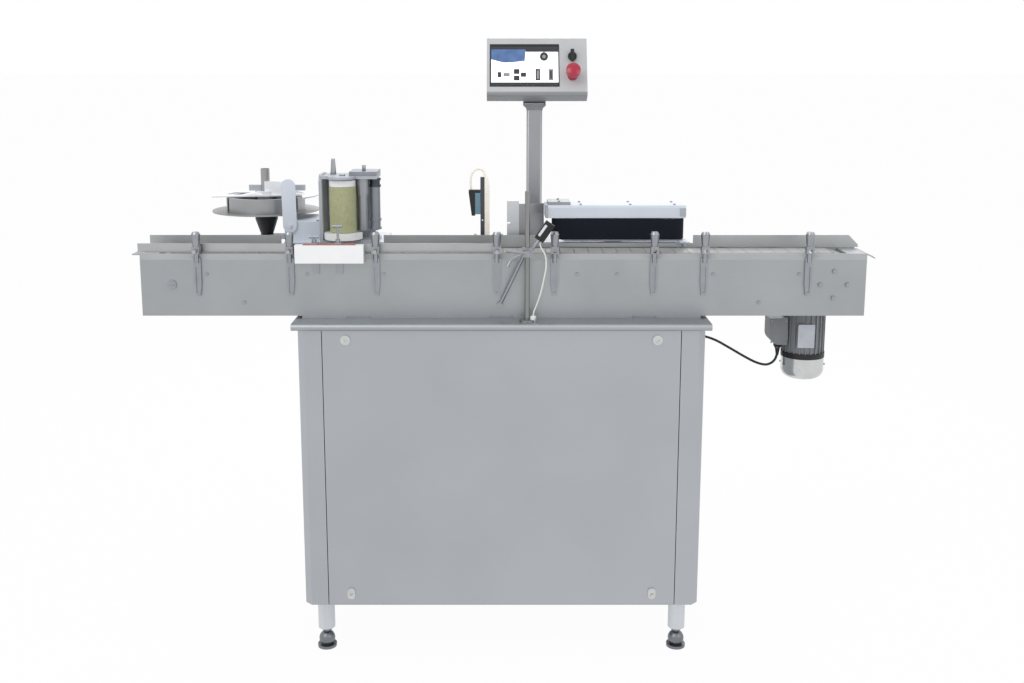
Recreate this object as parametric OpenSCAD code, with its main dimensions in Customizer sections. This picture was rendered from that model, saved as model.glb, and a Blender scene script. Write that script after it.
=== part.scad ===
// Bottle labeling machine: cabinet on feet, slat chain conveyor, separator, label reel,
// peel plate, wrap belt, operator panel. Millimetres, X right, Y back, Z up.

/* [Cabinet] */
// outer width of the cabinet
cab_w = 1070; // [900:1:1300]
// outer depth of the cabinet
cab_d = 540; // [450:1:700]
// underside of the cabinet above the floor
cab_z = 144; // [100:1:250]
// top of the cabinet walls above the floor
cab_top = 912; // [800:1:1000]
// side of a corner post
post_w = 64; // [40:1:90]
// chamfer of the outer corner of a post
post_cut = 18; // [4:1:30]
// sheet thickness of cabinet, panels and pans
sheet = 2; // [1:0.5:4]
// gap round the front panel
panel_gap = 2; // [1:0.5:5]
// depth of the folded edge of a panel
panel_fold = 16; // [8:1:30]
// height of the upper and lower rails
rail_bar = 16; // [12:1:30]
// depth of the upper and lower rails
rail_deep = 20; // [12:1:40]

/* [Counter] */
// thickness of the counter top
top_t = 18; // [12:1:30]
// overhang of the counter top beyond the cabinet
top_over = 12; // [5:1:40]

/* [Feet] */
// distance of the legs from the middle, sideways
leg_x = 485; // [400:1:520]
// distance of the legs from the middle, front to back
leg_y = 222; // [150:1:260]
// outer diameter of a leg tube
leg_d = 46; // [30:1:60]
// wall of a leg tube
leg_wall = 3; // [2:0.5:6]
// lower end of a leg tube
leg_low = 58; // [40:1:90]
// diameter of the foot ball
ball_d = 44; // [30:1:60]
// diameter of the foot plate
pad_d = 52; // [40:1:80]
// thickness of the foot plate
pad_t = 8; // [4:1:15]
// diameter of the foot stem
stem_d = 16; // [10:1:24]
// width over the corners of the foot nut
nut_d = 28; // [20:1:40]
// height of the foot nut
nut_h = 10; // [6:1:16]

/* [Locks] */
// sideways position of the upper locks
lock_x = 408; // [350:1:450]
// height of the upper locks
lock_hi = 885; // [800:1:894]
// height of the lower locks
lock_lo = 178; // [170:1:260]
// diameter of a lock head
lock_d = 26; // [18:1:34]
// diameter of a lock barrel
lock_barrel = 18; // [12:1:18]
// how far a lock head stands out
lock_out = 4; // [2:1:8]
// length of the lock cam from its axis
cam_len = 24; // [16:1:26]
// width of the lock cam
cam_w = 13; // [8:1:18]
// thickness of the lock cam
cam_t = 3; // [2:0.5:5]

/* [Conveyor] */
// left end of the side plates
conv_l = -954; // [-1200:1:-700]
// right end of the side plates
conv_r = 964; // [700:1:1200]
// outer face of the front side plate, front to back
conv_front = -206; // [-250:1:-150]
// distance between the inner faces of the side plates
conv_gap = 112; // [100:1:200]
// thickness of the side plates
plate_t = 3; // [2:0.5:6]
// underside of the side plates
plate_lo = 936; // [935:1:980]
// upper edge of the side plates
plate_hi = 1087; // [1050:1:1150]
// width of the lower ledge of a side plate
ledge_w = 13; // [8:1:20]
// height of the plastic strip on a side plate
strip_h = 16; // [3:1:18]
// width of the plastic strip on a side plate
strip_w = 6; // [4:1:12]

/* [Slat chain] */
// pitch of the slat chain before it is fitted to the run
pitch_near = 38.1; // [25.4:0.1:50.8]
// number of slats round one wheel
wheel_slats = 12; // [8:1:14]
// width of a slat
slat_w = 82.5; // [60:0.5:100]
// thickness of a slat
slat_t = 4; // [3:0.5:6]
// gap between two slats
slat_gap = 1.5; // [0.5:0.1:3]
// height of the slat face above the hinge axis
hinge_drop = 9; // [7:0.5:14]
// diameter of a hinge knuckle
knuckle_d = 9; // [7:0.5:12]
// diameter of the pin below the wrap unit
pin_d = 8; // [4:0.5:10]
// width of the middle knuckle
knuckle_w = 16; // [10:1:24]
// width of an outer knuckle
side_knuckle = 11; // [6:1:16]
// distance of the drive shaft from the right end of the side plates
drive_end = 84; // [80:1:150]
// distance of the tail axle from the left end of the side plates
tail_end = 81.4; // [80:0.1:150]
// height of the drive shaft
shaft_z = 1020; // [980:1:1050]
// diameter of the drive shaft
shaft_d = 25; // [20:1:35]
// width of a chain wheel
wheel_w = 30; // [15:1:40]

/* [Drive] */
// offset of the worm axis from the shaft
worm_off = 31; // [30:1:80]
// depth of the gearbox behind the rear plate
gear_d = 88; // [60:1:120]
// diameter of the gearbox housing round the shaft
gear_round = 104; // [80:1:140]
// width of the gearbox neck round the worm
gear_neck = 74; // [50:1:100]
// outer diameter of the motor body
motor_d = 118; // [90:1:150]
// underside of the motor body
motor_lo = 802; // [760:1:850]
// height of the black band below the motor body
band_h = 15; // [8:1:25]
// lowest point of the fan cover
cover_lo = 726; // [650:1:760]
// number of cooling ribs
rib_count = 24; // [12:1:40]
// height of a cooling rib
rib_h = 5; // [3:1:10]
// thickness of a cooling rib
rib_t = 2.4; // [1.5:0.1:4]

/* [Guide rails] */
// right end of the front rail
frail_r = -2; // [-200:1:200]
// how far the front rail runs past the left end of the side plates
frail_over = 9; // [0:1:40]
// upper edge of the front rail
frail_hi = 1128; // [1100:1:1180]
// how far the rear rail runs past the left end of the side plates
rrail_over = 4; // [0:1:40]
// how far the rear rail runs past the right end of the side plates
rrail_tail = 8; // [0:1:40]
// upper edge of the rear rail
rrail_hi = 1137; // [1100:1:1200]
// thickness of the rail sheets
rail_t = 3; // [2:0.5:5]
// lower edge of both rails
rail_lo = 1104; // [1086:1:1110]
// height of the rail rods
rod_z = 1112; // [1104:1:1120]
// diameter of the rail rods
rod_d = 10; // [8:1:14]
// clearance round the rail rods
rod_gap = 0.3; // [0.1:0.1:1]
// width of a rail bracket
bracket_w = 20; // [16:1:36]
// thickness of a rail bracket
bracket_t = 6; // [4:1:10]
// lower end of a rail bracket
bracket_lo = 992; // [960:1:1040]
// diameter of a rail knob
knob_d = 24; // [20:1:40]
// top of the rail knobs
knob_hi = 1162; // [1140:1:1200]

/* [Operator panel] */
// sideways position of the pole
pole_x = 94; // [0:1:200]
// position of the pole front to back
pole_y = 120; // [80:1:200]
// side of the square pole
pole_w = 44; // [30:1:70]
// wall of the pole
pole_wall = 3; // [2:0.5:6]
// top of the pole
pole_hi = 1467; // [1300:1:1600]
// width of the panel housing
hmi_w = 283; // [200:1:360]
// height of the panel face along the slope
hmi_h = 167; // [120:1:240]
// depth of the panel housing
hmi_d = 50; // [40:1:90]
// how far the panel leans back, degrees
hmi_tilt = 25; // [10:1:40]
// sideways position of the housing middle
hmi_x = 100; // [0:1:200]
// position of the lower edge of the face front to back
hmi_y = 62; // [20:1:120]
// height of the lower edge of the face
hmi_z = 1520; // [1400:1:1600]
// width of the screen frame
screen_w = 196; // [150:1:260]
// height of the screen frame
screen_h = 130; // [90:1:160]
// diameter of the emergency mushroom
mush_d = 40; // [30:1:60]
// diameter of the selector
sel_d = 25; // [18:1:32]

/* [Label reel] */
// sideways position of the reel axis
reel_x = -678; // [-800:1:-500]
// position of the reel axis front to back
reel_y = 95; // [40:1:140]
// diameter of the reel discs
reel_d = 302; // [200:1:360]
// height of the lower disc
reel_lo = 1181; // [1150:1:1240]
// height of the upper flange
reel_hi = 1224; // [1190:1:1300]
// thickness of the reel discs
reel_t = 4; // [2:0.5:8]
// top of the spindle tube
spindle_hi = 1302; // [1250:1:1400]
// diameter of the spindle tube
spindle_d = 25; // [16:1:40]
// height of the hub below the lower disc
hub_h = 12; // [6:1:20]

/* [Separator] */
// sideways position of the foam roller
foam_x = -434; // [-600:1:-200]
// position of the foam roller front to back
foam_y = -70; // [-110:1:-40]
// diameter of the foam roller
foam_d = 74; // [50:1:100]
// lower end of the foam roller
foam_lo = 1142; // [1120:1:1180]
// upper end of the foam roller
foam_hi = 1268; // [1200:1:1350]
// diameter of the white hub disc
hub_d = 104; // [80:1:110]

/* [Wrap unit] */
// sideways position of the driven roller
wrap_l = 170; // [120:1:300]
// sideways position of the idle roller
wrap_r = 465; // [350:1:600]
// position of both rollers front to back
wrap_y = -75; // [-100:1:-40]
// diameter of the rollers
wrap_d = 60; // [40:1:80]
// thickness of the belt
belt_t = 3; // [2:0.5:6]
// lower edge of the belt
belt_lo = 1126; // [1110:1:1160]
// upper edge of the belt
belt_hi = 1182; // [1150:1:1240]
// top of the wrap housing
wrap_hi = 1219; // [1190:1:1260]

/* [Hidden] */
$fn = 48;
// overrun of every cut
cut = 1;
// gap between faces that only rest on each other
seat = 0.3;
// running clearance of shafts in their bores
run_fit = 0.08;
// thin joint between two materials of one node
joint = 0.1;

cab_front = -cab_d/2;
rail_in = panel_fold + seat;
top_hi = cab_top + top_t;
conv_back = conv_front + 2*plate_t + conv_gap;
conv_mid = (conv_front + conv_back)/2;
inner_front = conv_front + plate_t;
inner_back = conv_back - plate_t;
conv_len = conv_r - conv_l;
drive_x = conv_r - drive_end;
tail_x = conv_l + tail_end;
// whole slats fill the straight run
run_slats = round((drive_x - tail_x)/pitch_near);
pitch = (drive_x - tail_x)/run_slats;
wheel_r = pitch/2/sin(180/wheel_slats);
chain_hi = shaft_z + wheel_r + hinge_drop;
motor_x = drive_x - worm_off;
motor_y = conv_back + gear_d/2;
strip_hi = plate_hi + strip_h;
frail_l = conv_l - frail_over;
rrail_l = conv_l - rrail_over;
rrail_r = conv_r + rrail_tail;
slat_front = conv_mid - slat_w/2;
// bolts and axle of the chain shafts
bolt_ring = 36;
bolt_d = 8;
axle_d = 20;
guide_h = 20;
slit_h = 3;
// rows of spacers and rail brackets along the conveyor, as shares of its length, and of feet
bar_shares = [0.0907, 0.2289, 0.3347, 0.6017, 0.6569, 0.7894, 0.9082];
low_shares = [0.1413, 0.5339, 0.8535];
front_shares = [0.0792, 0.2070, 0.3248, 0.4911, 0.5704, 0.7070, 0.7763, 0.9197];
back_shares = [0.0594, 0.1637, 0.3618, 0.5287, 0.8102, 0.8832];
bar_rows = [for (s = bar_shares) conv_l + s*conv_len];
low_rows = [for (s = low_shares) conv_l + s*conv_len];
front_rows = [for (s = front_shares) conv_l + s*conv_len];
back_rows = [for (s = back_shares) conv_l + s*conv_len];
foot_shares = [-0.355, 0, 0.355];
foot_rows = [for (s = foot_shares) s*cab_w];
// top of the bracket heads
block_top = 1124;
// motor
motor_hi = 935.6;
rotor_d = 19;
// cables and glands
cable_d = 7;
loop_d = 6;
thin_d = 4;
cable_y = -10;
cable_z = 836;
gland_d = 18;
gland_l = 14;
motor_cable_z = 810;
// guide block and its clamp screws
block_x = -451;
block_y = -220.3;
block_lo = 1081;
block_hi = 1129;
block_knobs = [-490, -428];
screw_d = 6;
// bottle sensor rod
prop_x = 67;
prop_y = -248;
prop_d = 13;
prop_hi = 1273;
// tilted bottle sensor
photo_mid = [112, -242, 1167];
photo_lean = 35;
photo_h = 54;
// tables and posts behind the conveyor
table_lo = 1100;
table_hi = 1112;
// operator panel: swivel, tilt axis, screen and buttons on the sloping face
swivel_d = 30;
yoke_half = 28;
tilt_z = 1498;
tilt_pin = 8;
screen_x = 65;
screen_up = 80;
button_x = 200;
mush_up = 48;
sel_up = 107;
mush_stem = 16;
collar_out = 22;
press_travel = 5;
// leaning flat bar beside the reel
arm_x = -584;
arm_z = 1156;
arm_pin = 10;
arm_lean = 1;
// separator: frame, rollers
sep_left = -497;
sep_right = -339;
sep_front = -84;
sep_back = 20;
lid_step = 4;
roll_a = [-380, -58];
roll_b = [-348, -40];
roll_pin = 10;
roll_d = 29;
roll_lo = 1146;
roll_hi = 1287.5;
hub_shaft = 16;
core_d = 30;
// wrap unit: end, hanging pin and slide
wrap_mid = (wrap_l + wrap_r)/2;
wrap_end = 500;
wrap_pin = 12;
pin_y = -113;
pin_lo = 1109;
slide_y = 30;
slide_z = 1192;
slide_w = 30;
slide_t = 12;
slide_x = wrap_mid - slide_w/2;
slide_end = 72;
// clamp lever and cable gland of the bottle sensor
lever_z = 1114;
gland_x = 83;
gland_y = -250;
// corners of the two tables behind the conveyor
table_a = [[-600, -60], [-322, 130]];
table_b = [[-90, -62], [520, 78]];
// light box beside the reel
head_l = -600;
head_r = -500;
head_front = -46;
head_back = 125;
head_hi = 1167;
arm_bore = 12;
// top of the separator and of its shaft
lid_hi = 1300;
// posts behind the conveyor
post_rows = [[-500, 60], [-380, 60], [-40, 30], [240, 40], [440, 40]];
// cord routes, round points chosen by hand
motor_route = [
  [549, -10, 836], [575, -10, 834], [610, -10, 822], [650, -12, 800], [690, -16, 777],
  [725, -22, 760], [752, -30, 756], [770, -38, 768], [777, -44, 788], [778, -44, 810]
];
loop_route = [
  [-83, -50, 1256.5], [-85, -50, 1275], [-83, -50, 1295], [-75, -50, 1308],
  [-64, -50, 1313], [-54, -50, 1311], [-49, -50, 1305.5], [-48, -50, 1301.2]
];
photo_route = [
  [103, -242, 1140], [100, -242, 1134], [104, -242, 1122], [114, -244, 1104], [116, -246, 1075],
    [110, -247, 1040],
  [102, -248, 1005], [92, -249, 975], [85, -250, 957], [83, -250, 945]
];

// upright tube or bar of square section
module square_post(side, wall, low, high) {
  translate([0, 0, low])
    linear_extrude(high - low)
      difference() {
        round_rect(side, side, 2*wall);
        round_rect(side - 2*wall, side - 2*wall, wall);
      }
}

// rectangle with round corners, exact arcs
module round_rect(w, h, r) {
  square([w - 2*r, h], center = true);
  square([w, h - 2*r], center = true);
  for (sx = [-1, 1])
    for (sy = [-1, 1])
      translate([sx*(w/2 - r), sy*(h/2 - r)])
        circle(r);
}

// cylinder along Y from y0 to y1
module rod_y(x, y0, y1, z, d) {
  translate([x, y0, z])
    rotate([-90, 0, 0])
      cylinder(d = d, h = y1 - y0);
}

// cylinder along X from x0 to x1
module rod_x(x0, x1, y, z, d) {
  translate([x0, y, z])
    rotate([0, 90, 0])
      cylinder(d = d, h = x1 - x0);
}

// upright cylinder from z0 to z1
module rod_z(x, y, z0, z1, d) {
  translate([x, y, z0])
    cylinder(d = d, h = z1 - z0);
}

// box between two corners
module box(a, b) {
  translate(a)
    cube([b[0] - a[0], b[1] - a[1], b[2] - a[2]]);
}

// chamfered post section with its outer corner at the origin
module post_outline(wall) {
  c = post_cut + 0.414*wall;
  far = post_w - wall;
  polygon([[c, wall], [far, wall], [far, far], [wall, far], [wall, c]]);
}

// closed floor outline of the cabinet with chamfered corners
module floor_outline() {
  hx = cab_w/2;
  hy = cab_d/2;
  polygon([
    [-hx + post_cut, -hy], [hx - post_cut, -hy], [hx, -hy + post_cut],
    [hx, hy - post_cut], [hx - post_cut, hy], [-hx + post_cut, hy],
    [-hx, hy - post_cut], [-hx, -hy + post_cut]
  ]);
}

// copies its child to the four corners
module four_ways() {
  for (mx = [0, 1])
    for (my = [0, 1])
      mirror([mx, 0, 0])
        mirror([0, my, 0])
          children();
}

module cabinet_frame() {
  color([0.68, 0.70, 0.72]) {
    difference() {
      union() {
        four_ways()
          translate([-cab_w/2, -cab_d/2, cab_z])
            linear_extrude(cab_top - cab_z)
              post_outline(0);
        translate([0, 0, cab_z])
          linear_extrude(sheet)
            floor_outline();
        for (z = [cab_z, cab_top - rail_bar])
          four_ways() {
            box([-cab_w/2 + post_w - cut, cab_front + rail_in, z],
              [0, cab_front + rail_in + rail_deep, z + rail_bar]);
            box([-cab_w/2 + rail_in, cab_front + post_w - cut, z],
              [-cab_w/2 + rail_in + rail_deep, 0, z + rail_bar]);
          }
        four_ways()
          rod_z(-leg_x, -leg_y, leg_low, cab_z + sheet, leg_d);
      }
      four_ways()
        translate([-cab_w/2, -cab_d/2, cab_z + sheet])
          linear_extrude(cab_top - cab_z)
            post_outline(sheet);
      four_ways()
        rod_z(-leg_x, -leg_y, leg_low + stem_d, cab_z, leg_d - 2*leg_wall);
      four_ways()
        rod_z(-leg_x, -leg_y, leg_low - cut, leg_low + stem_d + cut, stem_d + 2*run_fit);
    }
  }
}

module pan(w, h, fold) {
  difference() {
    box([-w/2, 0, 0], [w/2, fold, h]);
    box([-w/2 + sheet, sheet, sheet], [w/2 - sheet, fold + cut, h - sheet]);
  }
}

module front_panel() {
  low = cab_z + sheet + seat;
  color([0.68, 0.69, 0.71])
    difference() {
      translate([0, cab_front, low])
        pan(cab_w - 2*post_w - 2*panel_gap, cab_top - seat - low, panel_fold);
      for (s = [-1, 1])
        for (z = [lock_lo, lock_hi])
          rod_y(s*lock_x, cab_front - cut, cab_front + sheet + cut, z, lock_barrel + 2*run_fit);
    }
}

module cabinet_panels() {
  low = cab_z + sheet + seat;
  color([0.66, 0.68, 0.70]) {
    mirror([0, 1, 0])
      translate([0, cab_front, low])
        pan(cab_w - 2*post_w - 2*panel_gap, cab_top - seat - low, panel_fold);
    translate([-cab_w/2, 0, low])
      rotate([0, 0, -90])
        pan(cab_d - 2*post_w - 2*panel_gap, cab_top - seat - low, panel_fold);
    translate([cab_w/2, 0, low])
      rotate([0, 0, 90])
        pan(cab_d - 2*post_w - 2*panel_gap, cab_top - seat - low, panel_fold);
  }
  color([0.10, 0.10, 0.11])
    rod_x(cab_w/2, cab_w/2 + gland_l, cable_y, cable_z, gland_d);
}

module counter_top() {
  color([0.80, 0.81, 0.82])
    translate([-cab_w/2 - top_over, 0, cab_top + top_t/2])
      rotate([90, 0, 90])
        linear_extrude(cab_w + 2*top_over)
          round_rect(cab_d + 3*top_over, top_t, 0.48*top_t);
}

module leveling_feet() {
  color([0.75, 0.76, 0.78])
    four_ways()
      translate([-leg_x, -leg_y, 0]) {
        cylinder(d = pad_d, h = pad_t);
        translate([0, 0, pad_t/4 + ball_d/2])
          sphere(d = ball_d);
        cylinder(d = stem_d, h = leg_low + stem_d);
        translate([0, 0, leg_low - nut_h])
          cylinder(d = nut_d, h = nut_h, $fn = 6);
      }
}

// quarter-turn lock, its cam pointing up or down behind the rail
module panel_lock(x, z, way) {
  back = cab_front + rail_in + rail_deep + seat;
  key_d = 0.5*lock_d;
  color([0.78, 0.79, 0.80])
    difference() {
      union() {
        if (way > 0)
          rod_y(x, cab_front - lock_out, cab_front - run_fit, z, lock_d);
        else
          translate([x, cab_front - run_fit, z])
            rotate([90, 0, 0])
              linear_extrude(lock_out)
                round_rect(0.8*lock_d, 1.2*lock_d, 0.38*lock_d);
        rod_y(x, cab_front - lock_out/2, back + cam_t, z, lock_barrel);
        box([x - cam_w/2, back, min(z, z + way*cam_len)],
          [x + cam_w/2, back + cam_t, max(z, z + way*cam_len)]);
      }
      translate([x, cab_front - 2*lock_out, z])
        rotate([-90, 0, 0])
          cylinder(d = key_d, h = 2*lock_out, $fn = 3);
    }
}

module lock_top_left() {
  panel_lock(-lock_x, lock_hi, 1);
}

module lock_top_right() {
  panel_lock(lock_x, lock_hi, 1);
}

module lock_low_left() {
  panel_lock(-lock_x, lock_lo, -1);
}

module lock_low_right() {
  panel_lock(lock_x, lock_lo, -1);
}

module electrical_plate() {
  side_gap = 155;
  low_gap = 96;
  top_gap = 112;
  back_gap = 120;
  w = cab_w - 2*side_gap;
  low = cab_z + low_gap;
  high = cab_top - top_gap;
  y = cab_d/2 - back_gap;
  duct = 40;
  color([0.85, 0.86, 0.87]) {
    box([-w/2, y, low], [w/2, y + sheet, high]);
    for (s = [-1, 1])
      box([s*w/3 - duct/2, y, cab_z + sheet], [s*w/3 + duct/2, y + duct, low]);
  }
  color([0.55, 0.57, 0.60]) {
    for (z = [low + 2*duct, high - 3*duct])
      box([-w/2 + duct, y - duct/4, z], [w/2 - duct, y, z + duct]);
  }
  color([0.25, 0.26, 0.28]) {
    box([-w/3, y - 3*duct, low + duct], [-w/8, y - duct/4, low + 5*duct]);
    box([-w/12, y - 2*duct, low + duct], [w/10, y - duct/4, low + 4*duct]);
    box([w/6, y - 3*duct, low + duct], [w/3, y - duct/4, low + 4*duct]);
    for (i = [0:7])
      box([-w/3 + i*duct, y - 1.5*duct, high - 3.5*duct],
        [-w/3 + (i + 0.9)*duct, y - duct/4, high - 1.5*duct]);
  }
}

module conveyor_plates() {
  color([0.66, 0.68, 0.70])
    difference() {
      union() {
        box([conv_l, conv_front, plate_lo], [conv_r, inner_front, plate_hi]);
        box([conv_l, conv_front, plate_lo], [conv_r, inner_front + ledge_w, plate_lo + plate_t - 2*seat]);
        box([conv_l, inner_back, plate_lo], [conv_r, conv_back, plate_hi]);
        box([conv_l, inner_back - ledge_w, plate_lo], [conv_r, conv_back, plate_lo + plate_t - 2*seat]);
      }
      rod_y(drive_x, inner_back - cut, conv_back + cut, shaft_z, shaft_d + 2*rod_gap);
      for (a = [0:90:270])
        rod_y(drive_x + bolt_ring*cos(a), conv_front - cut, inner_front + cut,
          shaft_z + bolt_ring*sin(a), bolt_d + 2*run_fit);
      rod_y(tail_x, conv_front - cut, inner_front + cut, shaft_z, axle_d + 2*run_fit);
      rod_y(tail_x, inner_back - cut, conv_back + cut, shaft_z, axle_d + 2*run_fit);
    }
}

module wear_strips() {
  near = 24;
  wide = 12;
  tall = guide_h;
  color([0.88, 0.89, 0.88]) {
    box([conv_l, conv_front, plate_hi], [conv_r, conv_front + strip_w, strip_hi]);
    box([conv_l, conv_back - strip_w, plate_hi], [conv_r, conv_back, strip_hi]);
    for (s = [0, 1])
      translate([0, conv_mid, 0])
        mirror([0, s, 0])
          box([tail_x + tall, near, chain_hi - slat_t - seat - tall],
            [drive_x - tall, near + wide, chain_hi - slat_t - seat]);
  }
}

module cross_spacers() {
  bar_h = 60;
  bar_w = 12;
  bar_top = chain_hi - slat_t - seat - guide_h;
  low_z = 972;
  low_d = 14;
  head_d = 10;
  head_t = 3;
  foot_w = 60;
  color([0.70, 0.72, 0.74]) {
    for (x = bar_rows) {
      box([x - bar_w/2, inner_front, bar_top - bar_h], [x + bar_w/2, inner_back, bar_top]);
      rod_y(x, conv_front - head_t, conv_front, bar_top - bar_h/2, head_d);
      rod_y(x, conv_back, conv_back + head_t, bar_top - bar_h/2, head_d);
    }
    for (x = low_rows) {
      rod_y(x, inner_front, inner_back, low_z, low_d);
      rod_y(x, conv_front - head_t, conv_front, low_z, head_d);
      rod_y(x, conv_back, conv_back + head_t, low_z, head_d);
    }
    for (x = foot_rows)
      box([x - foot_w/2, conv_front, top_hi], [x + foot_w/2, conv_back, plate_lo]);
    rod_y(tail_x, conv_front - head_t/2, conv_back + head_t, shaft_z, axle_d);
    difference() {
      rod_y(tail_x, conv_front - head_t, conv_front, shaft_z, axle_d + 2*head_t);
      box([tail_x - axle_d, conv_front - head_t - cut, shaft_z - slit_h/2],
        [tail_x + axle_d, conv_front - head_t/2, shaft_z + slit_h/2]);
    }
    rod_y(tail_x, conv_back, conv_back + head_t, shaft_z, axle_d + 2*head_t);
  }
}

// knuckle with its web up to the slat, w wide, hinge at the origin
module knuckle(w) {
  k = knuckle_d/2;
  web = 6;
  low = hinge_drop - slat_t;
  rotate([90, 0, 0])
    linear_extrude(w)
      polygon([[-0.9*k, -0.4*k], [0, -k], [web, -0.4*k], [web, low + seat],
        [slat_gap, low + seat], [slat_gap, low], [-0.9*k, 0.4*k]]);
}

// one slat, leading hinge at the origin, travelling along X, face up
module slat() {
  low = hinge_drop - slat_t;
  far = knuckle_w/2 + seat + side_knuckle;
  box([slat_gap/2, -slat_w/2, low], [pitch - slat_gap/2, slat_w/2, hinge_drop]);
  translate([0, knuckle_w/2, 0])
    knuckle(knuckle_w);
  for (y = [far, side_knuckle - far])
    translate([pitch, y, 0])
      mirror([1, 0, 0])
        knuckle(side_knuckle);
}

module slat_chain() {
  step = 360/wheel_slats;
  half = wheel_slats/2;
  color([0.80, 0.81, 0.80])
    translate([0, conv_mid, shaft_z]) {
      for (i = [0:run_slats - 1]) {
        translate([tail_x + i*pitch, 0, wheel_r])
          slat();
        translate([drive_x - i*pitch, 0, -wheel_r])
          rotate([0, 180, 0])
            slat();
      }
      for (i = [0:half - 1]) {
        translate([drive_x, 0, 0])
          rotate([0, i*step, 0])
            translate([0, 0, wheel_r])
              rotate([0, step/2, 0])
                slat();
        translate([tail_x, 0, 0])
          rotate([0, 180 + i*step, 0])
            translate([0, 0, wheel_r])
              rotate([0, step/2, 0])
                slat();
      }
    }
}

module chain_wheel(bore) {
  outer = wheel_r - knuckle_d/2 - 4*seat;
  pocket = 10;
  rotate([90, 0, 0])
    translate([0, 0, -wheel_w/2])
      linear_extrude(wheel_w)
        difference() {
          circle(outer);
          for (i = [0:wheel_slats - 1])
            rotate(i*360/wheel_slats)
              translate([0, wheel_r])
                circle(pocket);
          for (i = [0:4])
            rotate(i*72)
              translate([0.6*outer, 0])
                circle(pocket*0.8);
          circle(d = bore);
        }
}

module drive_shaft() {
  color([0.72, 0.73, 0.75])
    rod_y(drive_x, inner_front + seat, conv_back + gear_d - seat, shaft_z, shaft_d);
}

module drive_sprocket() {
  color([0.25, 0.26, 0.28])
    translate([drive_x, conv_mid, shaft_z])
      chain_wheel(shaft_d + run_fit);
}

module tail_wheel() {
  color([0.25, 0.26, 0.28])
    translate([tail_x, conv_mid, shaft_z])
      chain_wheel(axle_d + 2*run_fit);
}

// flange bearing inside a side plate, plate side at y0, growing towards the chain
module flange_bearing(y0, way) {
  side = 64;
  thick = 10;
  boss = 46;
  boss_l = 24;
  difference() {
    union() {
      translate([drive_x, y0, shaft_z])
        rotate([0, 45, 0])
          translate([-side/2, min(0, way*thick), -side/2])
            cube([side, thick, side]);
      rod_y(drive_x, min(y0, y0 + way*boss_l), max(y0, y0 + way*boss_l), shaft_z, boss);
    }
    rod_y(drive_x, conv_front, conv_back, shaft_z, shaft_d + 2*run_fit);
    for (a = [0:90:270])
      rod_y(drive_x + bolt_ring*cos(a), conv_front, conv_back,
        shaft_z + bolt_ring*sin(a), bolt_d + 2*run_fit);
  }
}

module shaft_bearings() {
  head = 13;
  head_t = 5;
  thick = 10;
  color([0.45, 0.47, 0.50]) {
    flange_bearing(inner_front, 1);
    flange_bearing(inner_back, -1);
  }
  color([0.80, 0.81, 0.82])
    for (a = [0:90:270])
      translate([drive_x + bolt_ring*cos(a), 0, shaft_z + bolt_ring*sin(a)]) {
        rod_y(0, conv_front - head_t, inner_front + thick, 0, bolt_d);
        translate([0, conv_front, 0])
          rotate([90, 0, 0])
            cylinder(d = head, h = head_t, $fn = 6);
      }
}

module transfer_plates() {
  t = 3;
  drop = 1.5;
  level = chain_hi - drop;
  start = 36;
  tongue_l = 22;
  tongue_r = 26;
  bend = 43;
  curl = 0.7;
  flange = 22;
  half = conv_gap/2 + plate_t - strip_w - seat;
  reach_r = conv_r + tongue_r;
  color([0.76, 0.78, 0.79])
    translate([0, conv_mid, 0]) {
      translate([0, half, 0])
        rotate([90, 0, 0])
          linear_extrude(2*half) {
            translate([drive_x + start, level - t])
              square([reach_r - curl*bend - drive_x - start, t]);
            translate([reach_r - curl*bend, level - bend])
              intersection() {
                difference() {
                  circle(bend);
                  circle(bend - t);
                }
                translate([0, bend*0.72])
                  square([bend, bend]);
              }
          }
      box([conv_l - tongue_l, -half, level - t], [tail_x - start, half, level]);
      for (s = [0, 1])
        mirror([0, s, 0]) {
          box([drive_x + start, half - t, level - flange], [conv_r - t, half, level]);
          box([conv_l + t, half - t, level - flange], [tail_x - start, half, level]);
        }
    }
}

module gearbox() {
  flange_d = 86;
  flange_t = 14;
  neck_top = 60;
  cap_d = 64;
  cap_t = 6;
  y1 = conv_back + gear_d;
  color([0.62, 0.64, 0.66])
    difference() {
      union() {
        rod_y(drive_x, conv_back, y1, shaft_z, gear_round);
        box([motor_x - gear_neck/2, conv_back + cap_t, motor_hi + flange_t],
          [motor_x + gear_neck/2, y1 - cap_t, shaft_z + neck_top]);
        rod_z(motor_x, motor_y, motor_hi, motor_hi + flange_t + cut, flange_d);
        rod_y(drive_x, y1, y1 + cap_t, shaft_z, cap_d);
      }
      rod_y(drive_x, conv_back - cut, y1, shaft_z, shaft_d + 2*run_fit);
      rod_z(motor_x, motor_y, motor_hi - cut, motor_hi + 3*flange_t, rotor_d + 2*run_fit);
    }
}

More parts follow.
